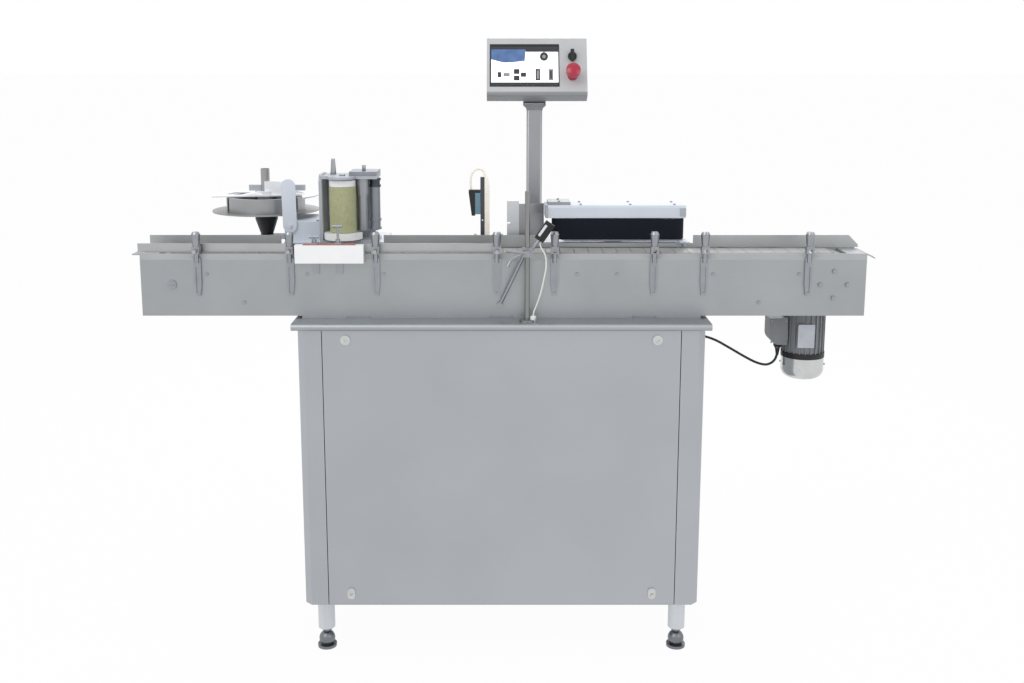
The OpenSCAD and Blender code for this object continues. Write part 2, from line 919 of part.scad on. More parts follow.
module motor_body() {
  core = motor_d - 2*rib_h;
  bell_d = motor_d + sheet;
  box_w = 50;
  box_deep = 62;
  box_lo = 824;
  box_hi = 900;
  corner = 28;
  box_out = 43;
  left = motor_x - motor_d/2 - box_out;
  plate_w = 46;
  plate_h = 66;
  plate_left = 7;
  plate_down = 14;
  color([0.33, 0.35, 0.38])
    difference() {
      union() {
        translate([motor_x, motor_y, motor_lo])
          linear_extrude(motor_hi - motor_lo) {
            circle(d = core);
            for (i = [0:rib_count - 1])
              rotate((i + 0.5)*360/rib_count)
                translate([0, -rib_t/2])
                  square([motor_d/2, rib_t]);
          }
        translate([motor_x - plate_w/2 - plate_left, motor_y - motor_d/2,
            (motor_lo + motor_hi)/2 - plate_h/2 - plate_down])
          cube([plate_w, rib_h + plate_t, plate_h]);
      }
      rod_z(motor_x, motor_y, motor_lo - cut, motor_hi + cut, rotor_d + 2*run_fit);
    }
  color([0.60, 0.62, 0.64])
    difference() {
      union() {
        translate([left, motor_y + box_deep/2, 0])
          rotate([90, 0, 0])
            linear_extrude(box_deep) {
              translate([corner, box_lo])
                square([box_w - corner, box_hi - box_lo]);
              translate([0, box_lo + corner])
                square([box_w, box_hi - box_lo - corner]);
              translate([corner, box_lo + corner])
                circle(corner);
            }
        rod_z(left + 0.62*box_w, motor_y, motor_cable_z, box_lo + cut, gland_d);
      }
      rod_z(motor_x, motor_y, box_lo - cut, box_hi + cut, motor_d + 2*seat);
    }
  color([0.08, 0.08, 0.09])
    difference() {
      rod_z(motor_x, motor_y, motor_lo - band_h + joint, motor_lo - joint, bell_d);
      rod_z(motor_x, motor_y, motor_lo - band_h - cut, motor_lo + cut, rotor_d + 2*run_fit);
    }
}

// half section of the fan cover, outer radius r and height h
module cup_half(r, h, c) {
  square([r - c, h]);
  translate([0, c])
    square([r, h - c]);
  translate([r - c, c])
    circle(c);
}

module fan_cover() {
  wall = 1.5;
  round = 26;
  high = motor_lo - band_h - cover_lo;
  slot_d = 7;
  color([0.78, 0.79, 0.80])
    translate([motor_x, motor_y, cover_lo])
      difference() {
        rotate_extrude()
          cup_half(motor_d/2, high, round);
        translate([0, 0, wall])
          rotate_extrude()
            cup_half(motor_d/2 - wall, high, round - wall);
        for (ring = [1:2])
          for (i = [0:6*ring - 1])
            rotate(i*60/ring)
              translate([ring*slot_d*1.6, 0, -cut])
                cylinder(d = slot_d, h = wall + 2*cut);
      }
}

module motor_rotor() {
  hub = 34;
  blade = 7;
  low = 744;
  fan_h = 26;
  reach = 48;
  blade_t = 2;
  color([0.20, 0.21, 0.22]) {
    rod_z(motor_x, motor_y, low, motor_hi + 2*hub/3, rotor_d);
    translate([motor_x, motor_y, low]) {
      cylinder(d = hub, h = fan_h);
      for (i = [0:blade - 1])
        rotate(i*360/blade)
          translate([hub/3, -blade_t/2, blade_t])
            cube([reach - hub/3, blade_t, fan_h - 2*blade_t]);
    }
  }
}

// slotted rail bracket of the front side, head with a rod bore on a short post
module rail_bracket(x, back) {
  post_d = 12;
  groove = 8;
  head_w = 20;
  over = 1.5;
  head_lo = strip_hi + over;
  top = 1092;
  back_lo = 1040;
  taper = 32;
  y = conv_front - bracket_t;
  bottom = back ? back_lo : bracket_lo;
  difference() {
    union() {
      translate([x, conv_front, 0])
        rotate([90, 0, 0])
          linear_extrude(bracket_t)
            polygon([[-bracket_w/2, top], [-bracket_w/2, bottom + taper], [-0.3*bracket_w, bottom],
              [0.3*bracket_w, bottom], [bracket_w/2, bottom + taper], [bracket_w/2, top]]);
      rod_z(x, y, top - post_d, head_lo + cut, post_d);
      box([x - head_w/2, y - head_w/2, head_lo], [x + head_w/2, y + head_w/2, block_top]);
    }
    rod_y(x, y - head_w, y + head_w, rod_z, rod_d + 2*rod_gap);
    box([x - groove/2, y - cut, bottom + groove], [x + groove/2, y + bracket_t/2, top - 2*post_d]);
  }
}

module rail_brackets() {
  color([0.62, 0.64, 0.66]) {
    for (x = front_rows)
      rail_bracket(x, false);
    translate([0, conv_mid, 0])
      mirror([0, 1, 0])
        translate([0, -conv_mid, 0])
          for (x = back_rows)
            rail_bracket(x, true);
  }
}

module rail_knobs() {
  dome = 6;
  color([0.66, 0.68, 0.70])
    for (x = front_rows)
      translate([x, conv_front - bracket_t, block_top]) {
        cylinder(d1 = 0.75*knob_d, d2 = knob_d, h = knob_hi - block_top - dome);
        translate([0, 0, knob_hi - block_top - dome - cut])
          cylinder(d1 = knob_d, d2 = 0.7*knob_d, h = dome + cut);
      }
}

module front_rail() {
  y1 = slat_front + seat;
  y0 = y1 - rail_t;
  rod_out = 32;
  out = rod_out - conv_front;
  color([0.70, 0.72, 0.74]) {
    box([frail_l, y0, rail_lo], [frail_r, y1, frail_hi]);
    for (i = [0:3])
      rod_y(front_rows[i], -out, y0 + cut, rod_z, rod_d);
  }
}

module rear_rail() {
  y1 = conv_back - strip_w - seat;
  y0 = y1 - rail_t;
  gap_r = 18;
  notch_up = 4;
  sep_l = table_a[0][0];
  sep_r = sep_right + gap_r;
  sep_drop = 4;
  low_sep = table_hi - sep_drop;
  low_wrap = table_hi + rail_t;
  near = 62;
  far = 22;
  wrap_a = wrap_l - near;
  wrap_b = wrap_end + far;
  notch_a = wrap_end - gap_r;
  notch_b = notch_a + far;
  notch_lo = rail_lo + notch_up;
  chamfer = 26;
  tail = 30;
  color([0.68, 0.70, 0.72]) {
    translate([0, y1, 0])
      rotate([90, 0, 0])
        linear_extrude(rail_t)
          polygon([
            [rrail_l, rail_lo], [rrail_r, rail_lo], [rrail_r, rrail_hi - chamfer],
            [rrail_r - chamfer, rrail_hi], [wrap_b, rrail_hi], [wrap_b, low_wrap],
            [notch_b, low_wrap], [notch_b, notch_lo], [notch_a, notch_lo], [notch_a, low_wrap],
            [wrap_a, low_wrap], [wrap_a, rrail_hi], [sep_r, rrail_hi], [sep_r, low_sep],
            [sep_l, low_sep], [sep_l, rrail_hi], [rrail_l, rrail_hi]
          ]);
    for (x = back_rows)
      rod_y(x, y1 - cut, y1 + tail, rod_z, rod_d);
  }
}

module guide_block() {
  w = 180;
  deep = 22;
  color([0.95, 0.95, 0.94])
    difference() {
      box([block_x - w/2, block_y - deep/2, block_lo], [block_x + w/2, block_y + deep/2, block_hi]);
      for (x = block_knobs)
        rod_z(x, block_y, block_hi - 2*deep/3, block_hi + cut, screw_d + 2*run_fit);
    }
  color([0.75, 0.38, 0.33])
    difference() {
      box([block_x - w/2 + deep, block_y - deep/2 + cut, block_hi + joint],
        [block_x + w/2 - deep, block_y + deep/2 - cut, block_hi + plate_t - joint]);
      for (x = block_knobs)
        rod_z(x, block_y, block_hi - cut, block_hi + plate_t + cut, screw_d + 2*run_fit);
    }
}

module block_brackets() {
  wide = 20;
  low = 1050;
  stem_rise = [18, 46];
  grip_l = 26;
  grip_d = 8;
  top = block_hi + plate_t;
  stem_hi = [for (r = stem_rise) top + r];
  color([0.70, 0.72, 0.74])
    for (x = block_knobs)
      difference() {
        union() {
          box([x - wide/2, conv_front - plate_t, low], [x + wide/2, conv_front, top + plate_t]);
          box([x - wide/2, block_y - wide/2, top], [x + wide/2, conv_front, top + plate_t]);
        }
        rod_z(x, block_y, top - cut, top + plate_t + cut, screw_d + 2*run_fit);
      }
  color([0.62, 0.64, 0.66])
    for (i = [0, 1]) {
      rod_z(block_knobs[i], block_y, block_hi - wide/2, stem_hi[i], screw_d);
      rod_z(block_knobs[i], block_y, top + plate_t + joint, top + 4*plate_t, 2*screw_d);
      rod_x(block_knobs[i] - grip_l/2, block_knobs[i] + grip_l/2, block_y, stem_hi[i], grip_d);
    }
}

module hmi_pole() {
  base = 96;
  base_t = 8;
  bolt_off = 36;
  bolt_head = 14;
  color([0.70, 0.71, 0.73]) {
    translate([pole_x, pole_y, 0]) {
      square_post(pole_w, pole_wall, top_hi, pole_hi);
      difference() {
        translate([-base/2, -base/2, top_hi])
          cube([base, base, base_t]);
        translate([-pole_w/4, -pole_w/4, top_hi - cut])
          cube([pole_w/2, pole_w/2, base_t + 2*cut]);
      }
      for (sx = [-1, 1])
        for (sy = [-1, 1])
          translate([sx*bolt_off, sy*bolt_off, top_hi + base_t + joint])
            cylinder(d = bolt_head, h = base_t, $fn = 6);
      difference() {
        translate([0, 0, pole_hi - base_t])
          linear_extrude(base_t)
            round_rect(pole_w, pole_w, 2*pole_wall);
        translate([0, 0, pole_hi - 2*base_t])
          cylinder(d = swivel_d + 2*run_fit, h = 3*base_t);
      }
    }
  }
}

module hmi_yoke() {
  collar = 13;
  plate = 4;
  neck_h = 5;
  neck = pole_w/2 + 1;
  half = yoke_half;
  wide = yoke_half + plate;
  deep = 44;
  color([0.62, 0.64, 0.66]) {
    rod_z(pole_x, pole_y, pole_hi - 2*collar, pole_hi + collar, swivel_d);
    translate([pole_x, pole_y + deep/2, pole_hi])
      rotate([90, 0, 0])
        linear_extrude(deep)
          polygon([[-neck, 2*run_fit], [neck, 2*run_fit], [neck, neck_h], [wide, collar],
            [wide, collar + plate], [-wide, collar + plate], [-wide, collar], [-neck, neck_h]]);
    for (s = [-1, 1])
      translate([pole_x + s*(half + plate/2), pole_y, 0])
        translate([-plate/2, 0, 0])
          rotate([90, 0, 90])
            linear_extrude(plate) {
              translate([0, tilt_z])
                circle(deep/5);
              translate([-deep/5, pole_hi + collar])
                square([2*deep/5, tilt_z - pole_hi - collar]);
            }
    rod_x(pole_x - half - 2*plate, pole_x + half + 2*plate, pole_y, tilt_z, tilt_pin);
  }
}

// places its child in the plane of the sloping panel face
module on_panel(x, up, out) {
  translate([x, hmi_y, hmi_z])
    rotate([-hmi_tilt, 0, 0])
      translate([0, -out, up])
        children();
}

module hmi_housing() {
  lip = 11;
  corner = 8;
  recess = 3;
  lug = 2*yoke_half - 2*rod_gap;
  lug_r = 13;
  lug_h = 38;
  mush_bore = 42;
  sel_bore = 30;
  color([0.72, 0.73, 0.75]) {
    difference() {
      union() {
        on_panel(hmi_x - hmi_w/2, 0, 0)
          rotate([90, 0, 90])
            linear_extrude(hmi_w) {
              translate([corner, 0])
                square([hmi_d - 2*corner, hmi_h]);
              translate([0, 0])
                square([hmi_d - corner, hmi_h - corner]);
              translate([0, 0])
                square([hmi_d, hmi_h - corner]);
              translate([corner, hmi_h - corner])
                circle(corner);
              translate([hmi_d - corner, hmi_h - corner])
                circle(corner);
              translate([lip, 0])
                circle(lip);
              translate([lip, -lip])
                square([hmi_d - 2*lip, 2*lip]);
              translate([hmi_d - lip, 0])
                circle(lip);
            }
        translate([pole_x - lug/2, pole_y, 0])
          rotate([90, 0, 90])
            linear_extrude(lug) {
              translate([0, tilt_z])
                circle(lug_r);
              translate([-lug_r, tilt_z])
                square([2*lug_r, lug_h]);
            }
      }
      on_panel(screen_x, screen_up, recess)
        translate([-screen_w/2, 0, -screen_h/2])
          cube([screen_w, 2*recess, screen_h]);
      rod_x(pole_x - yoke_half, pole_x + yoke_half, pole_y, tilt_z, tilt_pin + 2*run_fit);
      on_panel(button_x, mush_up, recess)
        rotate([-90, 0, 0])
          cylinder(d = mush_stem + 2*run_fit, h = mush_bore);
      on_panel(button_x, sel_up, recess)
        rotate([-90, 0, 0])
          cylinder(d = mush_stem + 2*run_fit, h = sel_bore);
    }
  }
  color([0.75, 0.76, 0.77])
    on_panel(button_x, mush_up, collar_out)
      rotate([-90, 0, 0])
        difference() {
          cylinder(d = 0.72*mush_d, h = collar_out);
          translate([0, 0, -cut])
            cylinder(d = mush_stem + 2*run_fit, h = collar_out + 2*cut);
        }
}

module hmi_screen() {
  recess = 3;
  proud = 1;
  inset = 3;
  glass = 0.6;
  color([0.06, 0.06, 0.07])
    on_panel(screen_x, screen_up, proud)
      difference() {
        translate([-screen_w/2 + run_fit, 0, -screen_h/2 + run_fit])
          cube([screen_w - 2*run_fit, recess + proud - run_fit, screen_h - 2*run_fit]);
        translate([-screen_w/2 + inset, -cut, -screen_h/2 + inset])
          cube([screen_w - 2*inset, glass + cut, screen_h - 2*inset]);
      }
  color([0.86, 0.90, 0.96])
    on_panel(screen_x, screen_up, proud - glass)
      translate([-screen_w/2 + inset, -glass/2, -screen_h/2 + inset])
        cube([screen_w - 2*inset, glass/2, screen_h - 2*inset]);
}

module estop_button() {
  dome = 17;
  rest = 1;
  gap = press_travel + rest;
  color([0.80, 0.12, 0.18])
    on_panel(button_x, mush_up, collar_out + gap)
      rotate([90, 0, 0]) {
        cylinder(d = mush_d, h = dome/2);
        translate([0, 0, dome/2])
          rotate_extrude()
            intersection() {
              translate([0, -mush_d + 0.7*dome])
                circle(mush_d);
              square([mush_d/2, dome]);
            }
        translate([0, 0, -collar_out - gap - dome])
          cylinder(d = mush_stem, h = collar_out + gap + dome + cut);
      }
}

module selector_knob() {
  out = 5;
  grip = 10;
  reach = 34;
  color([0.06, 0.06, 0.07])
    on_panel(button_x, sel_up, 0)
      rotate([90, 0, 0]) {
        translate([0, 0, run_fit])
          cylinder(d = sel_d, h = out);
        translate([-grip/2, -reach/2, out])
          cube([grip, reach, grip]);
        translate([0, 0, -2*grip])
          cylinder(d = mush_stem, h = 2*grip + cut);
      }
}

module mount_posts() {
  side = 40;
  wall = 3;
  base = 66;
  base_t = 6;
  col_w = 50;
  col_d = 30;
  roof = 4;
  color([0.70, 0.72, 0.74]) {
    for (p = post_rows)
      translate([p[0], p[1], 0]) {
        square_post(side, wall, top_hi, table_lo);
        difference() {
          translate([-base/2, -base/2, top_hi])
            cube([base, base, base_t]);
          translate([-side/4, -side/4, top_hi - cut])
            cube([side/2, side/2, base_t + 2*cut]);
        }
      }
    difference() {
      box([wrap_mid - col_w/2, slide_y, table_hi],
        [wrap_mid + col_w/2, slide_y + col_d, slide_z + slide_t + roof]);
      box([slide_x - rod_gap, slide_y - cut, slide_z - rod_gap],
        [slide_x + slide_w + rod_gap, slide_y + col_d + cut, slide_z + slide_t + rod_gap]);
    }
  }
}

module base_plates() {
  arm = 20;
  brake_d = 64;
  neck_d = 34;
  brake_lo = reel_lo - 2*hub_h;
  brake_hi = reel_lo - hub_h;
  color([0.78, 0.80, 0.84]) {
    difference() {
      union() {
        box([table_a[0][0], table_a[0][1], table_lo], [table_a[1][0], table_a[1][1], table_hi]);
        rod_z(reel_x, reel_y, table_lo, table_hi, 2*arm);
        box([reel_x, reel_y - arm, table_lo], [table_a[0][0] + arm/2, reel_y + arm, table_hi]);
      }
      rod_z(reel_x, reel_y, table_lo - cut, brake_hi + cut, spindle_d + 2*run_fit);
    }
    box([table_b[0][0], table_b[0][1], table_lo], [table_b[1][0], table_b[1][1], table_hi]);
  }
  color([0.16, 0.17, 0.18])
    difference() {
      union() {
        rod_z(reel_x, reel_y, brake_lo, brake_hi, brake_d);
        translate([reel_x, reel_y, table_hi + joint])
          cylinder(d1 = neck_d, d2 = brake_d, h = brake_lo - table_hi);
      }
      rod_z(reel_x, reel_y, table_hi - cut, brake_hi + cut, spindle_d + 2*run_fit);
    }
}

module head_box() {
  color([0.78, 0.80, 0.85])
    difference() {
      box([head_l, head_front, table_hi], [head_r, head_back, head_hi]);
      rod_y(arm_x, head_front - cut, head_front + arm_bore, arm_z, arm_pin + 2*run_fit);
    }
}

module web_arm() {
  wide = 38;
  t = 6;
  long = 129;
  color([0.78, 0.80, 0.85])
    translate([arm_x, head_front - seat, arm_z])
      rotate([90, 0, 0])
        linear_extrude(t)
          rotate(arm_lean) {
            circle(d = wide);
            translate([-wide/2, 0])
              square([wide, long - wide/2]);
            translate([0, long - wide/2])
              circle(d = wide);
          }
  color([0.78, 0.80, 0.85])
    rod_y(arm_x, head_front - seat - 2*t, head_front + arm_bore - cut, arm_z, arm_pin);
}

module reel_disc() {
  wall = 3;
  drum_d = 222;
  drum_t = 12;
  slot_w = 16;
  hub = 60;
  hollow = 60;
  core_lo = reel_lo + reel_t;
  core_hi = reel_hi - 2*seat;
  color([0.82, 0.83, 0.86])
    translate([reel_x, reel_y, 0])
      difference() {
        union() {
          translate([0, 0, reel_lo])
            cylinder(d = reel_d, h = reel_t);
          translate([0, 0, reel_lo - hub_h + seat])
            cylinder(d = hub, h = hub_h);
          translate([0, 0, table_lo + seat])
            cylinder(d = spindle_d, h = spindle_hi - table_lo - seat);
          translate([0, 0, core_lo - cut])
            cylinder(d = drum_d, h = core_hi - core_lo + cut);
        }
        translate([0, 0, spindle_hi - hollow])
          cylinder(d = spindle_d - 2*wall, h = hollow + cut);
        for (a = [90, 210, 330])
          rotate(a)
            translate([hub/2, -slot_w/2, core_lo])
              cube([drum_d, slot_w, core_hi - core_lo + cut]);
        translate([0, 0, core_lo])
          linear_extrude(core_hi - core_lo + cut)
            difference() {
              circle(d = drum_d - 2*drum_t);
              circle(d = hub);
            }
      }
}

module reel_flange() {
  hole_w = 34;
  hole_in = 62;
  hole_out = 112;
  collar_d = 52;
  collar_h = 14;
  bar = 16;
  chord = 28;
  lobe = 100;
  grip_l = 46;
  color([0.84, 0.86, 0.90])
    translate([reel_x, reel_y, reel_hi])
      difference() {
        union() {
          cylinder(d = reel_d, h = reel_t);
          cylinder(d = collar_d, h = collar_h);
          translate([0, -bar, 0])
            cube([spindle_d/2 + grip_l, bar, collar_h + bar + 3*reel_t]);
        }
        rotate(12)
          translate([-reel_d, -reel_d, -cut])
            cube([reel_d + lobe, reel_d - chord, reel_t + 2*cut]);
        for (a = [40, 100, 163])
          rotate(a)
            translate([(hole_in + hole_out)/2, 0, -cut])
              linear_extrude(reel_t + 2*cut)
                round_rect(hole_out - hole_in, 2*hole_w, 0.4*hole_w);
        translate([0, 0, -cut])
          cylinder(d = spindle_d + 2*run_fit, h = reel_hi);
      }
  color([0.55, 0.57, 0.61])
    difference() {
      box([reel_x - 3*bar, reel_y + cut, reel_hi + collar_h + joint],
        [reel_x + 7*bar, reel_y + cut + bar, reel_hi + collar_h + bar]);
      rod_z(reel_x, reel_y, reel_hi, spindle_hi, spindle_d + 2*run_fit);
    }
}

module separator_frame() {
  left = sep_left;
  right = sep_right;
  wall = 8;
  front = sep_front;
  back = sep_back;
  top = lid_hi - lid_step;
  round = 22;
  mid_w = 76;
  washer = 3;
  peg_d = 10.5;
  peg_foot = 17;
  peg_a = [left + 32, back - 40, lid_hi + 39];
  peg_b = [right - 39, back - 60, lid_hi + 23];
  color([0.66, 0.69, 0.74])
    difference() {
      union() {
        translate([left, 0, 0])
          rotate([90, 0, 90])
            linear_extrude(wall) {
              translate([front + round, table_hi])
                square([back - front - 2*round, lid_hi - table_hi]);
              translate([front, table_hi])
                square([back - front, lid_hi - table_hi - round]);
              translate([front + round, lid_hi - round])
                circle(round);
              translate([back - round, lid_hi - round])
                circle(round);
            }
        box([left, front, table_hi], [right, back, table_hi + wall]);
        box([left, back - wall, table_hi], [right - 2*wall, back, top - wall]);
        box([left + wall/2, front, top - wall], [right, back, top]);
        for (p = [roll_a, roll_b]) {
          rod_z(p[0], p[1], roll_lo - washer, top - cut, roll_pin);
          rod_z(p[0], p[1], roll_lo - washer - seat, roll_lo - seat, roll_pin + wall/2);
        }
        rod_z(foam_x, front, top - wall, top, foam_d);
      }
      rod_z(foam_x, foam_y, table_hi + seat, top + cut, hub_shaft + 2*run_fit);
    }
  color([0.30, 0.32, 0.35])
    box([right - mid_w, front + wall, top + joint], [right, back, top + 1.4*wall]);
  color([0.72, 0.74, 0.77]) {
    translate([peg_a[0], peg_a[1], top + joint])
      cylinder(d1 = peg_foot, d2 = peg_d, h = peg_a[2] - top - joint);
    rod_z(peg_b[0], peg_b[1], top + 1.4*wall + joint, peg_b[2], peg_d);
  }
}

module foam_roller() {
  color([0.69, 0.71, 0.52])
    difference() {
      rod_z(foam_x, foam_y, foam_lo, foam_hi, foam_d);
      rod_z(foam_x, foam_y, foam_lo - cut, foam_hi + cut, core_d);
    }
}

module wheel_hub() {
  disc_t = 18;
  cap_t = 17;
  cap_in = 2;
  color([0.93, 0.93, 0.92])
    rod_z(foam_x, foam_y, foam_lo - disc_t - seat, foam_lo - seat, hub_d);
  color([0.70, 0.72, 0.75]) {
    rod_z(foam_x, foam_y, table_hi + 2*seat, foam_lo - disc_t - seat, hub_shaft);
    rod_z(foam_x, foam_y, foam_lo - seat, foam_hi + seat, core_d);
    rod_z(foam_x, foam_y, foam_hi + seat, foam_hi + cap_t, foam_d - cap_in);
    rod_z(foam_x, foam_y, foam_hi + cap_t, lid_hi, hub_shaft);
  }
}

module guide_roller_a() {
  collar_lo = 1243;
  collar_out = 2.5;
  color([0.50, 0.53, 0.58])
    difference() {
      union() {
        rod_z(roll_a[0], roll_a[1], roll_lo, roll_hi, roll_d);
        rod_z(roll_a[0], roll_a[1], collar_lo, roll_hi, roll_d + 2*collar_out);
      }
      rod_z(roll_a[0], roll_a[1], roll_lo - cut, roll_hi + cut, roll_pin + 2*run_fit);
    }
}

module guide_roller_b() {
  ring = 6;
  body_d = 27;
  ring_d = 32;
  color([0.36, 0.38, 0.42])
    difference() {
      union() {
        rod_z(roll_b[0], roll_b[1], roll_lo, roll_hi, body_d);
        for (z = [roll_lo, roll_lo + 4*ring, roll_hi - 4*ring, roll_hi - ring])
          rod_z(roll_b[0], roll_b[1], z, z + ring, ring_d);
      }
      rod_z(roll_b[0], roll_b[1], roll_lo - cut, roll_hi + cut, roll_pin + 2*run_fit);
    }
}

module sensor_post() {
  strip_l = -58;
  strip_r = -46.5;
  sleeve_r = -33;
  y = -50;
  deep = 10;
  strip_top = 1291;
  sleeve_top = 1300;
  bend_drop = 38;
  tip_l = 5.5;
  tip_r = 4;
  foot = 30;
  foot_t = 4;
  wide = sleeve_r - strip_r;
  color([0.25, 0.25, 0.27])
    difference() {
      union() {
        box([strip_l, y - deep/2, table_hi], [strip_r, y + deep/2, strip_top]);
        box([strip_l - foot/2, y - deep/2, table_hi], [strip_r, y + foot, table_hi + foot_t]);
      }
      rod_y((strip_l + strip_r)/2, y - deep, y + deep, table_hi + 2*foot, foot_t);
    }
  color([0.88, 0.84, 0.77])
    translate([strip_r + joint, y + deep/2, 0])
      rotate([90, 0, 0])
        linear_extrude(deep)
          polygon([
            [0, table_hi], [wide, table_hi], [wide, sleeve_top - bend_drop],
            [0.9*wide, sleeve_top - 0.68*bend_drop], [0.72*wide, sleeve_top - 0.36*bend_drop],
            [0.45*wide, sleeve_top - 0.1*bend_drop], [tip_r, sleeve_top], [-tip_l, sleeve_top],
            [-tip_l, sleeve_top - 0.1*bend_drop], [0, sleeve_top - 0.2*bend_drop]
          ]);
}

module sensor_head() {
  right = -58.3;
  left = -90;
  mid = -72.5;
  y = -50;
  low = 1185;
  high = 1256;
  wide = 18;
  lean = 8;
  color([0.07, 0.07, 0.08]) {
    translate([0, y + wide/2, 0])
      rotate([90, 0, 0])
        linear_extrude(wide)
          polygon([[left, high - lean], [left, high], [right, high], [right, high - lean],
            [mid, high - lean], [mid, low], [left + lean, low]]);
  }
  color([0.30, 0.45, 0.50])
    box([mid + joint, y - wide/2, low + lean/2], [right, y + wide/2, high - lean - joint]);
}

module peel_plate() {
  t = 3;
  left = 15;
  fold = 48;
  right = 117;
  y = -62;
  back = -44;
  high = 1226;
  high_r = 1218;
  notch_z = 1164;
  notch_h = 4;
  notch_w = 9;
  foot_d = 34;
  color([0.74, 0.75, 0.76])
    difference() {
      box([left, y, table_hi], [fold, y + t, high]);
      box([left - cut, y - cut, notch_z], [left + notch_w, y + t + cut, notch_z + notch_h]);
    }
  color([0.60, 0.61, 0.62])
    translate([0, 0, table_hi])
      linear_extrude(high_r - table_hi)
        polygon([[fold, y], [right, back], [right, back + t], [fold, y + t]]);
  color([0.60, 0.61, 0.62])
    box([left, y + t, table_hi], [fold, y + foot_d, table_hi + t]);
}

// outline of a belt round both rollers, seen from above
module belt_loop(r) {
  translate([wrap_l, wrap_y])
    circle(r);
  translate([wrap_r, wrap_y])
    circle(r);
  translate([wrap_l, wrap_y - r])
    square([wrap_r - wrap_l, 2*r]);
}

module wrap_housing() {
  above = 2;
  below = 2.5;
  low = belt_hi + above;
  left = 126;
  front = -102;
  back = -15;
  cap_l = 119;
  cap_r = 187;
  cap_hi = 1227;
  tab_w = 16;
  tab_out = 3;
  edge = 8;
  under_t = 4;
  under_hi = belt_lo - below;
  web_y = -37;
  color([0.80, 0.82, 0.87])
    difference() {
      union() {
        translate([left, 0, 0])
          rotate([90, 0, 90])
            linear_extrude(wrap_end - left) {
              translate([front + edge, low])
                square([back - front - edge, wrap_hi - low]);
              translate([front, low])
                square([back - front, wrap_hi - low - edge]);
              translate([front + edge, wrap_hi - edge])
                circle(edge);
            }
        box([wrap_l + wrap_d/2, web_y, under_hi - under_t], [wrap_r - wrap_d/2, web_y + under_t, low + cut]);
        box([wrap_l, wrap_y - 2*edge, under_hi - under_t], [wrap_end, web_y + under_t, under_hi]);
        box([wrap_end - tab_w, pin_y - edge, under_hi - under_t], [wrap_end, wrap_y, under_hi]);
        box([slide_x, back - cut, slide_z], [slide_x + slide_w, slide_end, slide_z + slide_t]);
      }
      rod_z(wrap_l, wrap_y, low - cut, wrap_hi - edge + cut, wrap_pin + 2*run_fit);
      rod_z(wrap_r, wrap_y, low - cut, wrap_hi - edge + cut, wrap_pin + 2*run_fit);
      rod_z(wrap_l, wrap_y, under_hi - 2*under_t, low - cut, wrap_pin + 2*run_fit);
      rod_z(wrap_r, wrap_y, under_hi - 2*under_t, low - cut, wrap_pin + 2*run_fit);
    }
  color([0.72, 0.75, 0.80]) {
    translate([cap_l, 0, 0])
      rotate([90, 0, 90])
        linear_extrude(left - cap_l - joint) {
          translate([front - tab_out + edge, low])
            square([back - front - edge, wrap_hi - low]);
          translate([front - tab_out, low])
            square([back - front, wrap_hi - low - edge]);
        }
    box([left, front + edge, wrap_hi + joint], [cap_r, back, cap_hi]);
    rod_z(wrap_end - tab_w/2, pin_y, pin_lo, under_hi - under_t - joint, pin_d);
  }
  color([0.55, 0.56, 0.55])
    box([wrap_end - tab_w, front - tab_out, low + 2*tab_out], [wrap_end, front - joint, wrap_hi - edge]);
}

module wrap_belt() {
  color([0.05, 0.06, 0.09])
    translate([0, 0, belt_lo])
      linear_extrude(belt_hi - belt_lo)
        difference() {
          belt_loop(wrap_d/2 + belt_t);
          belt_loop(wrap_d/2);
        }
}

module wrap_roller(x) {
  inset = 1;
  low = belt_lo + inset;
  high = belt_hi - inset;
  tail = 7;
  top = 25;
  color([0.62, 0.64, 0.66]) {
    rod_z(x, wrap_y, low, high, wrap_d - 2*seat);
    rod_z(x, wrap_y, low - tail, high + top, wrap_pin);
  }
}

module wrap_drive_roller() {
  wrap_roller(wrap_l);
}

module wrap_idler_roller() {
  wrap_roller(wrap_r);
}

module support_rod() {
  base_d = 40;
  base_t = 6;
  gland = 16;
  gland_h = 15;
  color([0.74, 0.75, 0.77]) {
    rod_z(prop_x, prop_y, top_hi, prop_hi, prop_d);
    rod_z(prop_x, prop_y, top_hi, top_hi + base_t, base_d);
  }
  color([0.94, 0.94, 0.93])
    rod_z(gland_x, gland_y, top_hi, top_hi + gland_h, gland);
}

// straight round bar between two points
module rod_between(a, b, d) {
  v = b - a;
  translate(a)
    rotate([0, acos(v[2]/norm(v)), atan2(v[1], v[0])])
      cylinder(d = d, h = norm(v));
}

module cross_clamp() {
  half = 13;
  tall = 12;
  low = lever_z - tall;
  high = lever_z + tall;
  arm_d = 8;
  stay_d = 9;
  foot_d = 15;
  foot_off = [-71, -6, 31];
  foot = [prop_x, conv_front, plate_lo] + foot_off;
  arm_l = 38;
  elbow_off = [-43, -8, -20];
  elbow = [prop_x, prop_y, lever_z] + elbow_off;
  hook_off = [-8, -4, -16];
  hook = elbow + hook_off;
  color([0.55, 0.57, 0.59])
    difference() {
      union() {
        box([prop_x - half, prop_y - half, low], [prop_x + half, prop_y + half, high]);
        translate(photo_mid)
          rotate([0, photo_lean, 0])
            translate([0, 0, -photo_h/2 - arm_l])
              cylinder(d = arm_d, h = arm_l);
        rod_between([prop_x - half/2, prop_y + half/2, low + half/2], foot, stay_d);
        rod_between([prop_x - half/2, prop_y, low + half/2], elbow, arm_d);
        rod_between(elbow, hook, arm_d);
        translate(elbow)
          sphere(d = stay_d);
        rod_y(foot[0], foot[1] - foot_d/3, conv_front, foot[2], foot_d);
      }
      rod_z(prop_x, prop_y, low - cut, high + cut, prop_d + 2*run_fit);
    }
}

